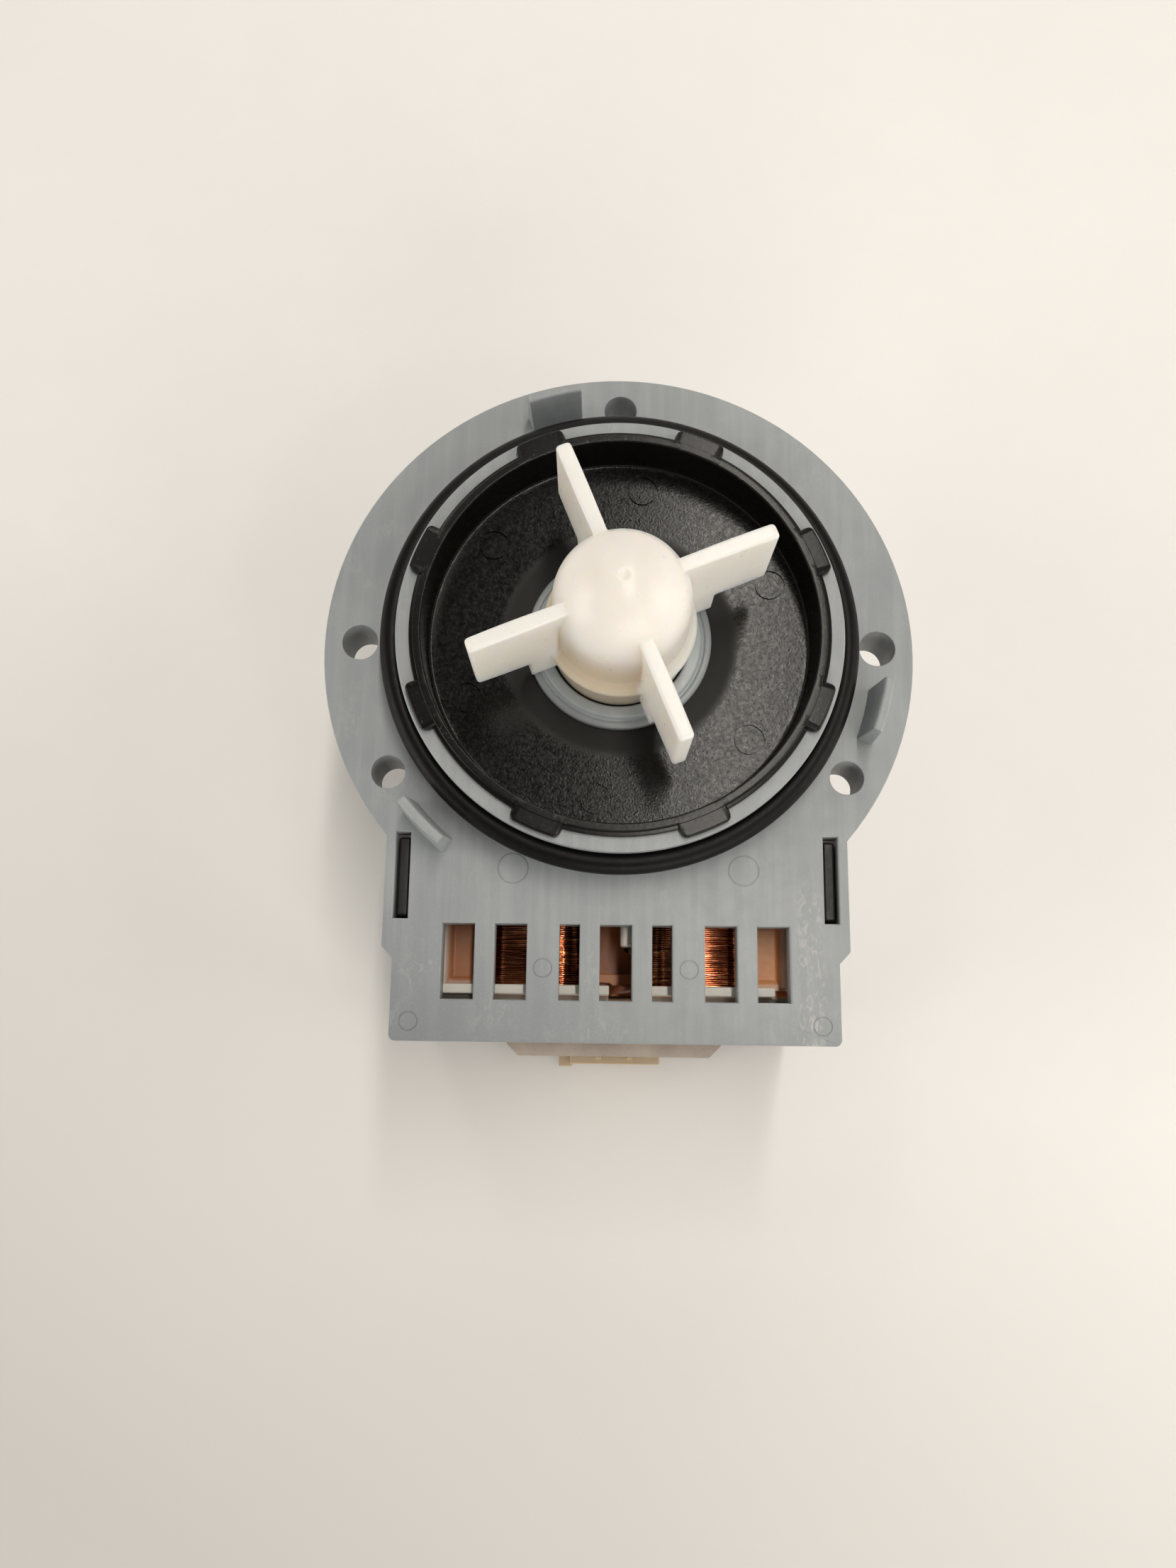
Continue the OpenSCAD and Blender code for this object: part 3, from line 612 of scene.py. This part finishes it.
def tinned_brass():
    m = Mat("tinned_brass", Metallic=1.0)
    lines = m.noise(1.0, 3, 0.6, vec=m.stretch((4.0, 0.35, 4.0)))
    c = m.ramp(lines, [(0.3, (0.56, 0.53, 0.46)), (0.75, (0.70, 0.67, 0.60))])
    m.color(m.mix(m.range(m.noise(0.5, 3, 0.6), 0.55, 0.75, 0, 0.5), c, (0.52, 0.43, 0.28)))
    m.rough(m.range(lines, 0.3, 0.7, 0.24, 0.40))
    m.normal(m.bump(lines, 0.006, 0.6))
    return m.m


def nylon():
    m = Mat("washer_nylon", Subsurface_Weight=0.1, Subsurface_Scale=0.001)
    m.color(m.ramp(m.noise(0.9, 3, 0.6), [(0.3, (0.60, 0.57, 0.47)), (0.75, (0.68, 0.65, 0.55))]))
    m.rough(m.range(m.noise(2.0, 3, 0.6), 0.3, 0.7, 0.36, 0.50))
    m.normal(m.bump(m.noise(4.0, 2, 0.5), 0.01, 0.5))
    return m.m


M = dict(gray_plastic=gray_plastic(), dish=dish_plastic(), rubber=rubber(), seal=dark_rubber(), pale=pale_gray(),
         white=white_plastic(), ivory=ivory(), bobbin=bobbin_plastic(), black=black_plastic(), dark=dark_plastic(),
         copper_l=copper("enamelled_copper_l", 1), copper_r=copper("enamelled_copper_r", 3), sleeve=lead_sleeve(),
         sheet=steel_sheet(), steel=ground_steel(), bronze=bronze(), ferrite=ferrite(), ceramic=ceramic(),
         brass=tinned_brass(), nylon=nylon())


def place(ob, mat, body, slot, *replaced):
    ob.data.materials.clear()
    ob.data.materials.append(M[mat])
    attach(ob, body)
    if replaced:
        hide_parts(*replaced)
    return ob


# ---------------------------------------------------------------- gray housing
def at_plane(e, z):
    return all(abs(v.co.z - z) < 0.01 for v in e.verts)


def flange_skip(e):
    if at_plane(e, -3.5) or e.calc_length() < 0.02:
        return True
    # the shallow rings of the ejector pins stay crisp
    c = (e.verts[0].co + e.verts[1].co) / 2
    if -0.3 < c.z < 0.01:
        for px, py, pr in ((19.7, -35.9, 2.45), (-16.1, -35.9, 2.45), (11.2, -51.2, 1.5), (-11.2, -51.2, 1.5),
                           (31.4, -59.4, 1.5), (-31.4, -59.4, 1.5)):
            d = hypot(c.x - px, c.y - py)
            if pr - 0.3 < d < pr + 0.05:
                return True
    return False


flange = cad_bm("mounting_flange")
for v in flange.verts:
    if -0.3 < v.co.z < -0.005:
        v.co.z *= 0.8       # the pin marks are faint
parts = [soften(flange, 0.24, 2, skip=flange_skip),
         soften(cad_bm("flange_ribs"), 0.2, 2, skip=lambda e: at_plane(e, -3.5)),
         soften(cad_bm("rotor_can"), 0.3, 2, skip=lambda e: at_plane(e, -3.5)),
         soften(cad_bm("coil_box_walls"), 0.24, 2, skip=lambda e: at_plane(e, -3.5)),
         soften(cad_bm("stator_clips"), 0.24, 2, skip=lambda e: at_plane(e, -3.5)),
         lathe(rounded([(32, 0), (36, 0), (36, 3.2, 0.3), (35.4, 3.8, 0.3), (33.7, 3.8, 0.3), (33.7, 7.7, 0.2),
                        (34.35, 7.7, 0.15), (34.6, 8.0, 0.2), (34.6, 9.5, 0.32), (32, 9.5, 0.4)], 5), 240)]
housing = finish_mesh("motor_housing", join_bm(parts))
place(housing, "gray_plastic", "motor", "gray_plastic", "mounting_flange", "flange_ribs", "flange_collar",
      "rotor_can", "coil_box_walls", "stator_clips")


# ---------------------------------------------------------------- black dish
LUG0, LUG_HALF, LUG_R = 23.0, 7.1, 34.0


def dish_profile(S, T):
    rl, zt = 32.4 + (LUG_R - 32.4) * S, 10.25 + 0.6 * T
    return rounded([(13.0, 1.5, 0.1), (28.6, 1.5, 0.3), (30.2, 0, 0.15), (31.9, 0, 0.2), (31.9, 9.5, 0.05),
                    (rl, 9.5, 0.14), (rl, zt, 0.16 + 0.16 * S), (31.75, zt, 0.08), (31.75, 11.0, 0.2),
                    (30.5, 11.0, 0.26), (30.2, 3.5, 0.55), (29.2, 3.5), (13.5, 3.5), (13.0, 3.5, 0.1)], 4)


def dish():
    angles = set(round(i * 1.5, 4) for i in range(240))
    for k in range(8):
        c = LUG0 + 45 * k
        for s in (-1, 1):
            for d in (-0.25, 0.0, 0.03, 0.1, 0.22, 0.4, 0.62, 0.9, 1.25, 1.6, 1.9):
                angles.add(round((c + s * (LUG_HALF - d)) % 360, 4))
    angles = sorted(angles)
    keep = []
    for a in angles:
        if not keep or a - keep[-1] > 0.02:
            keep.append(a)
    rows = []
    for a in keep:
        k = round((a - LUG0) / 45)
        s = (LUG_HALF - abs(a - LUG0 - 45 * k)) * pi / 180 * 33.0      # mm in from the lug's end
        S = 0.0 if s <= 0 else (1.0 if s >= 1.0 else sqrt(1 - (1 - s) ** 2))
        T = 0.0 if s <= 0 else min(1.0, (s / 0.35)) ** 0.6
        t = radians(a)
        rows.append([(p[0] * cos(t), p[0] * sin(t), p[1]) for p in dish_profile(S, T)])
    bm = sweep_rows(rows)
    bmesh.ops.remove_doubles(bm, verts=bm.verts, dist=1e-4)
    return bm


cover = finish_mesh("dish_cover", dish(), smooth=40)
rings = []
for k in range(6):
    t = radians(22 + 60 * k)
    b = lathe([(2.18, 3.22), (2.52, 3.22), (2.52, 4.0), (2.18, 4.0)], 64)
    bmesh.ops.translate(b, vec=(25.8 * cos(t), 25.8 * sin(t), 0), verts=b.verts)
    rings.append(b)
cut(cover, join_bm(rings))
place(cover, "dish", "motor", "black_plastic", "rotor_cover")


# ---------------------------------------------------------------- O-ring, seal carrier and the parts on the axis
def ring_torus(R0, z0, r, n, m):
    rows = []
    for i in range(n):
        t = 2 * pi * i / n
        rows.append([((R0 + r * cos(2 * pi * k / m)) * cos(t), (R0 + r * cos(2 * pi * k / m)) * sin(t),
                      z0 + r * sin(2 * pi * k / m)) for k in range(m)])
    return sweep_rows(rows)


place(finish_mesh("o_ring", ring_torus(35.65, 5.75, 1.84, 300, 48), smooth=80, weighted=False),
      "rubber", "motor", "black_rubber", "collar_o_ring")

seal_prof = rounded([(11.4, -9.5), (8.8, -9.5), (8.8, -5), (7.25, -5, 0.15), (7.25, -12), (12.9, -12, 0.4), (12.9, 3.52),
                     (14.55, 3.52, 0.1), (14.55, 4.7, 0.45), (13.55, 4.7, 0.2), (13.4, 4.3, 0.14), (13.05, 4.3, 0.14),
                     (12.8, 5.0, 0.3), (11.0, 5.0, 0.4), (11.0, 1.4), (11.4, 1.0)], 5)
place(finish_mesh("seal_ring", lathe(seal_prof, 180), smooth=50), "pale", "motor", "pale_gray_plastic", "seal_carrier")


def soft_node(node, name, width, mat, body, slot, segs=2, angle=28.0, skip=None):
    ob = finish_mesh(name, soften(cad_bm(node), width, segs, angle, skip))
    return place(ob, mat, body, slot, node)


place(finish_mesh("lip_seal", lathe(rounded([(11.35, -3.4, 0.2), (11.35, 0.4, 0.3), (9.6, 0.4, 0.2), (9.0, -1.9, 0.3),
      (5.2, -1.9, 0.3), (3.4, 1.2, 0.12), (2.56, 1.2, 0.06), (2.56, 0.7, 0.08), (3.6, -2.2, 0.3), (3.6, -3.4, 0.1)], 4), 144)),
      "seal", "motor", "black_rubber", "shaft_seal")


def bush(name, ri, ro, z0, z1, c, mat, slot, node):
    prof = rounded([(ri, z0, c * 0.7), (ro, z0, c), (ro, z1, c), (ri, z1, c * 0.7)], 3)
    return place(finish_mesh(name, lathe(prof, 96)), mat, "motor", slot, node)


bush("front_bearing", 2.55, 5.0, -12, -5.2, 0.35, "bronze", "sintered_bronze", "front_bush")
bush("rear_bearing", 2.55, 5.0, -47, -42, 0.35, "bronze", "sintered_bronze", "rear_bush")
bush("front_bearing_cup", 5.02, 7.2, -12, -5, 0.3, "seal", "black_rubber", "front_bush_cup")
bush("rear_bearing_cup", 5.02, 7.2, -47.5, -42, 0.3, "seal", "black_rubber", "rear_bush_cup")

shaft = lathe(rounded([(0, -46.5), (2.1, -46.5, 0.1), (2.5, -46.1, 0.15), (2.5, 24.1, 0.15), (2.1, 24.5, 0.1), (0, 24.5)], 3), 96)
place(finish_mesh("motor_shaft", shaft), "steel", "rotor", "ground_steel", "rotor_shaft")
hubm = lathe(rounded([(2.51, -40.5, 0.1), (6.98, -40.5, 0.25), (6.98, -13.5, 0.25), (2.51, -13.5, 0.1)], 3), 96)
place(finish_mesh("magnet_core", hubm), "dark", "rotor", "dark_plastic", "magnet_hub")
mag = lathe(rounded([(7.0, -40, 0.2), (14.4, -40, 0.6), (14.4, -14, 0.6), (7.0, -14, 0.2)], 4), 144)
place(finish_mesh("magnet_ring", mag), "ferrite", "rotor", "ferrite", "rotor_magnet")
wash = join_bm([lathe(rounded([(2.51, z, 0.08), (5.4, z, 0.15), (5.4, z + 0.9, 0.15), (2.51, z + 0.9, 0.08)], 2), 72)
                for z in (-13.5, -41.4)])
place(finish_mesh("thrust_rings", wash), "nylon", "rotor", "washer_nylon", "thrust_washers")
soft_node("drive_dog", "drive_cam", 0.25, "dark", "rotor", "dark_plastic")
soft_node("dog_pads", "cam_pads", 0.2, "seal", "rotor", "black_rubber")


# ---------------------------------------------------------------- impeller: one moulding with soft edges
def impeller():
    hub = cad_bm("impeller_hub", 0.05)
    vanes = cad_bm("impeller_vanes", 0.05)
    soften(vanes, 0.55, 3, 28.0, skip=lambda e: min(hypot(v.co.x, v.co.y) for v in e.verts) < 21.5)
    for v in vanes.verts:
        r = hypot(v.co.x, v.co.y)
        if r < 12.0:
            k = (r - 0.9) / r
            v.co.x *= k
            v.co.y *= k
    bm = join_bm([hub, vanes])
    bmesh.ops.triangulate(bm, faces=bm.faces)
    turn = Matrix.Rotation(radians(-22.35), 4, "Z")
    bmesh.ops.transform(bm, matrix=turn, verts=bm.verts)
    me = bpy.data.meshes.new("impeller_raw")
    bm.to_mesh(me)
    bm.free()
    ob = bpy.data.objects.new("impeller_moulding", me)
    sc.collection.objects.link(ob)
    rm = ob.modifiers.new("remesh", "REMESH")
    rm.mode = "VOXEL"
    rm.voxel_size = 0.17
    rm.adaptivity = 0.0
    sm = ob.modifiers.new("smooth", "SMOOTH")
    sm.factor = 0.5
    sm.iterations = 5
    bake(ob)
    ob.data.transform(turn.inverted())
    ob.data.transform(Matrix.Scale(MM, 4))
    dc = ob.modifiers.new("decimate", "DECIMATE")
    dc.ratio = 0.35
    bake(ob)
    for p in ob.data.polygons:
        p.use_smooth = True
    return ob


place(impeller(), "white", "impeller", "white_plastic", "impeller_hub", "impeller_vanes")
plug = lathe(rounded([(2.6, 4.2, 0.1), (7.97, 4.2, 0.25), (7.97, 6.0, 0.15), (2.6, 6.0, 0.1)], 3), 96)
place(finish_mesh("hub_cap", plug), "white", "impeller", "white_plastic", "hub_plug")


# ---------------------------------------------------------------- stator: stacked sheets, rivets
def sheets(outlines, z0, z1, n, seed):
    rnd = random.Random(seed)
    out = []
    t = (z1 - z0) / n
    for i in range(n):
        dx, dy = rnd.uniform(-0.018, 0.018), rnd.uniform(-0.018, 0.018)
        for o in outlines:
            b = prism([(x + dx, y + dy) for x, y in o], z0 + i * t + 0.02 * (i > 0), z0 + (i + 1) * t - 0.02 * (i < n - 1))
            out.append(b)
    return join_bm(out)


a0 = math.degrees(atan2(sqrt(17.4 ** 2 - 4), 2))
arc = [(17.4 * cos(radians(a)), 17.4 * sin(radians(a))) for a in [a0 - i * 2 * a0 / 72 for i in range(73)]]
pole = [(2, -29), (9, -29), (9, -57), (17, -57), (17, -29), (24, -29), (26, -27), (26, 16), (24, 18), (2, 18)] + arc
poles = sheets([pole, [(-x, y) for x, y in reversed(pole)]], -32, -10, 44, 5)
place(finish_mesh("pole_laminations", poles, weighted=False), "sheet", "motor", "lamination_steel", "stator_poles")
yoke = [(-17, -57), (-17, -62.7), (-15.2, -64.5), (15.2, -64.5), (17, -62.7), (17, -57)]
place(finish_mesh("yoke_laminations", sheets([yoke], -32, -10, 44, 9), weighted=False),
      "sheet", "motor", "lamination_steel", "stator_yoke")

rv_parts = []
for px, py in ((21.5, 12), (-21.5, 12), (12.5, -59.6), (-12.5, -59.6)):
    b = lathe(rounded([(0, -33), (2.1, -33, 0.5), (2.6, -32.05, 0.15), (2.6, -32.0), (1.54, -32.0), (1.54, -10.0), (2.6, -10.0),
                       (2.6, -9.95, 0.15), (2.1, -9, 0.5), (0, -9)], 4), 48)
    bmesh.ops.translate(b, vec=(px, py, 0), verts=b.verts)
    rv_parts.append(b)
place(finish_mesh("stack_rivets", join_bm(rv_parts)), "steel", "motor", "ground_steel", "core_rivets")


# ---------------------------------------------------------------- windings with their turns of wire
def winding(side, seed):
    rnd = random.Random(seed)
    w, h, rc = 16.0, 29.6, 3.0
    cx, cz = 13.0 * side, -21.0
    y0, y1 = -53.55, -31.0
    turns = 74
    pitch = (y1 - y0) / turns
    # perimeter points with outward normals
    per = []
    def straight(p, q, n, cnt):
        for i in range(cnt):
            t = i / cnt
            per.append((p[0] + (q[0] - p[0]) * t, p[1] + (q[1] - p[1]) * t, n[0], n[1]))
    def corner(c, a_start, cnt):
        for i in range(cnt):
            a = radians(a_start + 90 * i / cnt)
            per.append((c[0] + rc * cos(a), c[1] + rc * sin(a), cos(a), sin(a)))
    W, H = w / 2, h / 2
    straight((W, -H + rc), (W, H - rc), (1, 0), 14)
    corner((W - rc, H - rc), 0, 9)
    straight((W - rc, H), (-W + rc, H), (0, 1), 34)
    corner((-W + rc, H - rc), 90, 9)
    straight((-W, H - rc), (-W, -H + rc), (-1, 0), 14)
    corner((-W + rc, -H + rc), 180, 9)
    straight((-W + rc, -H), (W - rc, -H), (0, -1), 14)
    corner((W - rc, -H + rc), 270, 9)
    n = len(per)
    prof = [(0.0, -0.16), (0.14, -0.055), (0.32, -0.008), (0.5, 0.008), (0.68, -0.008), (0.86, -0.055)]
    rows = []
    for t in range(turns):
        lift = rnd.gauss(0, 0.035)
        slope = rnd.gauss(0, 0.05)
        ph = rnd.uniform(0, 50)
        bow = 0.55 * rnd.uniform(0.82, 1.18)
        for f, d in prof:
            row = []
            for i, (px, pz, nx, nz) in enumerate(per):
                wv = 0.025 * mnoise.noise(Vector((px * 0.16, pz * 0.16, ph))) + 0.012 * mnoise.noise(Vector((px * 0.6, pz * 0.6, ph + 9)))
                crown = 0.0
                if nz > 0.5:
                    crown = bow * max(0.0, 1 - (px / 8.4) ** 2) - (bow - 0.55) * 0.6 + 0.03 * mnoise.noise(Vector((px * 0.25, t * 0.09, seed)))
                off = d + lift + wv + crown - 0.05
                yy = y0 + (t + f) * pitch + slope * px / 8.0 * pitch + 0.06 * pitch * mnoise.noise(Vector((px * 0.3, pz * 0.3, ph + 20)))
                yy = min(max(yy, y0 + 0.001 * (t * 6 + 1)), y1 - 0.001)
                row.append((cx + side * (px + nx * off), yy, cz + pz + nz * off))
            rows.append(row)
    rows.insert(0, [(cx + side * p[0] * 0.97, y0, cz + p[1] * 0.98) for p in per])
    rows.append([(cx + side * p[0] * 0.97, y1, cz + p[1] * 0.98) for p in per])
    # close the solid along the bobbin's tube
    def inner(y):
        return [(cx + side * max(-5.22, min(5.22, p[0])), y, cz + max(-12.22, min(12.22, p[1]))) for p in per]
    rows.append(inner(y1))
    rows.append(inner(y0))
    bm = sweep_rows(rows)
    bmesh.ops.remove_doubles(bm, verts=bm.verts, dist=1e-5)
    bmesh.ops.dissolve_degenerate(bm, dist=1e-5, edges=bm.edges)
    parts = [bm]
    # a few loose turns that cross the layer
    for k in range(5):
        ya = rnd.uniform(y0 + 1.0, y1 - 5.0)
        dy = rnd.uniform(0.5, 1.6) * rnd.choice((-1, 1))
        pts = []
        for i in range(23, 23 + 34 + 9):
            px, pz, nx, nz = per[i % n]
            crown = 0.55 * max(0.0, 1 - (px / 8.4) ** 2) if nz > 0.5 else 0.0
            off = 0.06 + crown
            pts.append((cx + side * (px + nx * off), ya + dy * (i - 23) / 43.0, cz + pz + nz * off))
        parts.append(tube(pts[::3], 0.14, 8, 3))
    return join_bm(parts)


place(finish_mesh("left_winding", winding(-1, 11), smooth=70, weighted=False), "copper_l", "motor", "enamelled_copper", "left_coil")
place(finish_mesh("right_winding", winding(1, 23), smooth=70, weighted=False), "copper_r", "motor", "enamelled_copper", "right_coil")


def bobbin():
    """End flanges and tubes from the frame, guards as dished slabs with a soft rim and lip."""
    bm = cad_bm("coil_bobbin")
    for v in bm.verts:
        if -8.05 < v.co.z < -6.85 and abs(abs(v.co.x) - 26.3) < 0.02:
            v.co.x += 0.6 if v.co.x > 0 else -0.6
        if -8.05 < v.co.z < -6.85 and abs(v.co.y + 52.65) < 0.02:
            v.co.y = -53.15
    soften(bm, 0.22)
    parts = [bm]

    def ease(t):
        t = max(0.0, min(1.0, t))
        return t * t * (3 - 2 * t)
    for side in (-1, 1):
        xs = [21.28 + 7.24 * i / 44 for i in range(45)]
        ys = [-53.5 + 0.14 * j for j in range(20)] + [-50.7 + 20.2 * j / 24 for j in range(25)]
        rows = []
        for y in ys:
            top = []
            for x in xs:
                rim = 1.12 * ease((x - 25.55) / 1.35)
                lip = 0.72 * ease((-52.1 - y) / 1.05)
                sag = -0.0 + 0.02 * mnoise.noise(Vector((x * 0.5, y * 0.3, side)))
                top.append((side * x, y, -7.96 + max(rim, lip) + sag))
            bottom = [(side * x, y, -9.24) for x in reversed(xs)]
            rows.append(top + bottom)
        g = sweep_rows(rows, close_u=False)
        g.verts.ensure_lookup_table()
        n, m = len(rows[0]), len(rows)
        g.faces.new([g.verts[k] for k in range(n)])
        g.faces.new([g.verts[(m - 1) * n + k] for k in range(n - 1, -1, -1)])
        parts.append(g)
    return join_bm(parts)


place(finish_mesh("winding_bobbin", bobbin()), "bobbin", "motor", "ivory_plastic", "coil_bobbin")

leads = [tube([(-13, -50, -35.9), (-13, -50, -41), (-12.6, -49.9, -42.1), (-11.5, -49.7, -42.5), (-5, -48.6, -42.5), (-2.62, -48.5, -42.5)], 0.6),
         tube([(4.95, -32.5, -10.2), (4.5, -32.5, -10.15), (3.8, -32.55, -9.7), (3.2, -32.6, -8.9), (2.7, -32.75, -7.7), (2.45, -33.1, -6.8),
               (2.4, -33.5, -6.4), (2.4, -33.95, -6.3)], 0.35),
         tube([(2.4, -47.55, -6.3), (2.4, -47.85, -6.35), (2.4, -48.1, -6.6), (2.42, -48.2, -7.1), (2.48, -48.15, -8), (2.55, -47.9, -10),
               (2.7, -47.3, -13), (2.8, -46.8, -16), (2.8, -46.7, -17.2), (2.8, -46.9, -18.6), (2.8, -47.7, -19.9), (2.8, -48.8, -21),
               (2.8, -49.4, -22.4), (2.8, -49.5, -24), (2.8, -49.5, -38), (2.8, -49.4, -38.8), (2.8, -49.3, -39.3), (2.8, -49.3, -39.66)], 0.35),
         tube([(4.95, -52.7, -13), (4.6, -52.7, -12.95), (4.25, -52.78, -12.65), (4.05, -52.9, -12.1), (3.95, -53.05, -11.3)], 0.35),
         tube([(3.95, -53.05, -11.4), (3.7, -53.25, -10.4), (3.1, -53.6, -9.2), (2.1, -53.9, -8.4), (1, -54, -8.4), (0.2, -54.05, -8.9),
               (-0.1, -54.05, -9.7)], 0.7, wob=0.12, seed=3),
         tube([(-0.12, -54.05, -9.8), (-0.2, -54, -11), (-0.35, -53.6, -12.6), (-0.7, -53.2, -13.7), (-1.6, -53.1, -14.05),
               (-4.95, -53.1, -14.05)], 0.35)]
place(finish_mesh("lead_wires", join_bm(leads), smooth=60, weighted=False), "sleeve", "motor", "lead_sleeve", "coil_leads")

# square ceramic body with eased edges and closed ends
corner = [(1.0 + 0.6 * cos(radians(a)), 1.0 + 0.6 * sin(radians(a))) for a in range(0, 91, 15)]
sect = corner + [(-y, x) for x, y in corner] + [(-x, -y) for x, y in corner] + [(y, -x) for x, y in corner]
rows = []
for yy, k in ((-34.0, 0.78), (-34.08, 0.90), (-34.25, 0.97), (-34.5, 1.0), (-47.0, 1.0), (-47.25, 0.97), (-47.42, 0.90), (-47.5, 0.78)):
    rows.append([(2.4 + k * x, yy, -6.3 + k * z) for x, z in sect])
fz = sweep_rows(rows, close_u=False)
fz.verts.ensure_lookup_table()
fz.faces.new([fz.verts[k] for k in range(len(sect))])
fz.faces.new([fz.verts[(len(rows) - 1) * len(sect) + k] for k in range(len(sect) - 1, -1, -1)])
place(finish_mesh("fuse_body", fz), "ceramic", "motor", "fuse_ceramic", "thermal_fuse")

# ---------------------------------------------------------------- connector and rear cover
soft_node("connector_shroud", "plug_housing", 0.22, "ivory", "motor", "ivory_plastic")
soft_node("terminal_blades", "contact_blades", 0.14, "brass", "motor", "tinned_brass")
soft_node("rear_cover", "back_cover", 0.4, "black", "motor", "black_plastic", segs=3)


# ---------------------------------------------------------------- floor
fm = Mat("floor_paper")
fc = fm.ramp(fm.noise(0.020, 3, 0.5), [(0.3, (0.905, 0.897, 0.885)), (0.7, (0.925, 0.917, 0.906))])
fc = fm.mix(fm.range(fm.noise(0.11, 3, 0.6), 0.35, 0.7, 0.0, 0.30), fc, (0.885, 0.876, 0.865))
fx, fy, _ = fm.xyz()
# painted shade: the floor darkens towards the lower left
slope = fm.math("ADD", fm.math("MULTIPLY", fx, 0.47), fm.math("MULTIPLY", fy, 0.88))
fc = fm.mix(fm.range(slope, -20.0, -170.0, 0.0, 1.0), fc, (0.66, 0.646, 0.628))
fm.color(fc)
fm.rough(fm.range(fm.noise(0.3, 3, 0.6), 0.3, 0.7, 0.62, 0.75))
fm.normal(fm.bump(fm.noise(0.9, 3, 0.6), 0.03, 0.3))
me = bpy.data.meshes.new("floor")
me.from_pydata([(-2, -2, -0.05), (2, -2, -0.05), (2, 2, -0.05), (-2, 2, -0.05)], [], [(0, 1, 2, 3)])
floor = bpy.data.objects.new("floor", me)
me.materials.append(fm.m)
sc.collection.objects.link(floor)

# ---------------------------------------------------------------- soft studio light
WARM = (1.0, 0.945, 0.865)


def area(name, direction, dist, size, power, color=WARM):
    """Soft panel seen from the object along a direction; its first side runs along X."""
    z = Vector(direction).normalized()
    x = (Vector((1, 0, 0)) - z * z.x).normalized()
    ld = bpy.data.lights.new(name, "AREA")
    ld.shape = "RECTANGLE"
    ld.size, ld.size_y = size
    ld.energy = power
    ld.color = color
    ob = bpy.data.objects.new(name, ld)
    ob.matrix_world = Matrix.Translation(z * dist) @ Matrix((x, z.cross(x), z)).transposed().to_4x4()
    sc.collection.objects.link(ob)
    return ob


area("overhead_strip", (0.142, 0.19, 0.97), 0.95, (0.06, 0.80), 3.75)
area("right_panel", (0.86, -0.10, 0.46), 0.62, (0.36, 0.46), 1.4)
area("front_panel", (0.30, -0.86, 0.40), 1.0, (0.9, 0.45), 3.7)
area("left_panel", (-0.92, -0.20, 0.34), 1.0, (0.5, 0.9), 4.2)
area("back_panel", (-0.06, 0.87, 0.49), 0.62, (0.56, 0.30), 0.75)
area("front_spot", (0.42, -0.49, 0.765), 0.9, (0.08, 0.08), 0.3)
area("back_spot", (-0.30, 0.49, 0.82), 0.9, (0.12, 0.12), 0.3)
w = bpy.data.worlds.new("w")
sc.world = w
w.use_nodes = True
bg = w.node_tree.nodes["Background"]
bg.inputs[0].default_value = (WARM[0], WARM[1], WARM[2], 1)
# pale walls round the table, a dim ceiling
wt = w.node_tree
tc = wt.nodes.new("ShaderNodeTexCoord")
sx = wt.nodes.new("ShaderNodeSeparateXYZ")
mr = wt.nodes.new("ShaderNodeMapRange")
mr.interpolation_type = "SMOOTHSTEP"
for i, x in zip((1, 2, 3, 4), (0.0, 0.45, 0.75, 0.05)):
    mr.inputs[i].default_value = x
wt.links.new(tc.outputs["Generated"], sx.inputs[0])
wt.links.new(sx.outputs[2], mr.inputs[0])
wt.links.new(mr.outputs[0], bg.inputs[1])
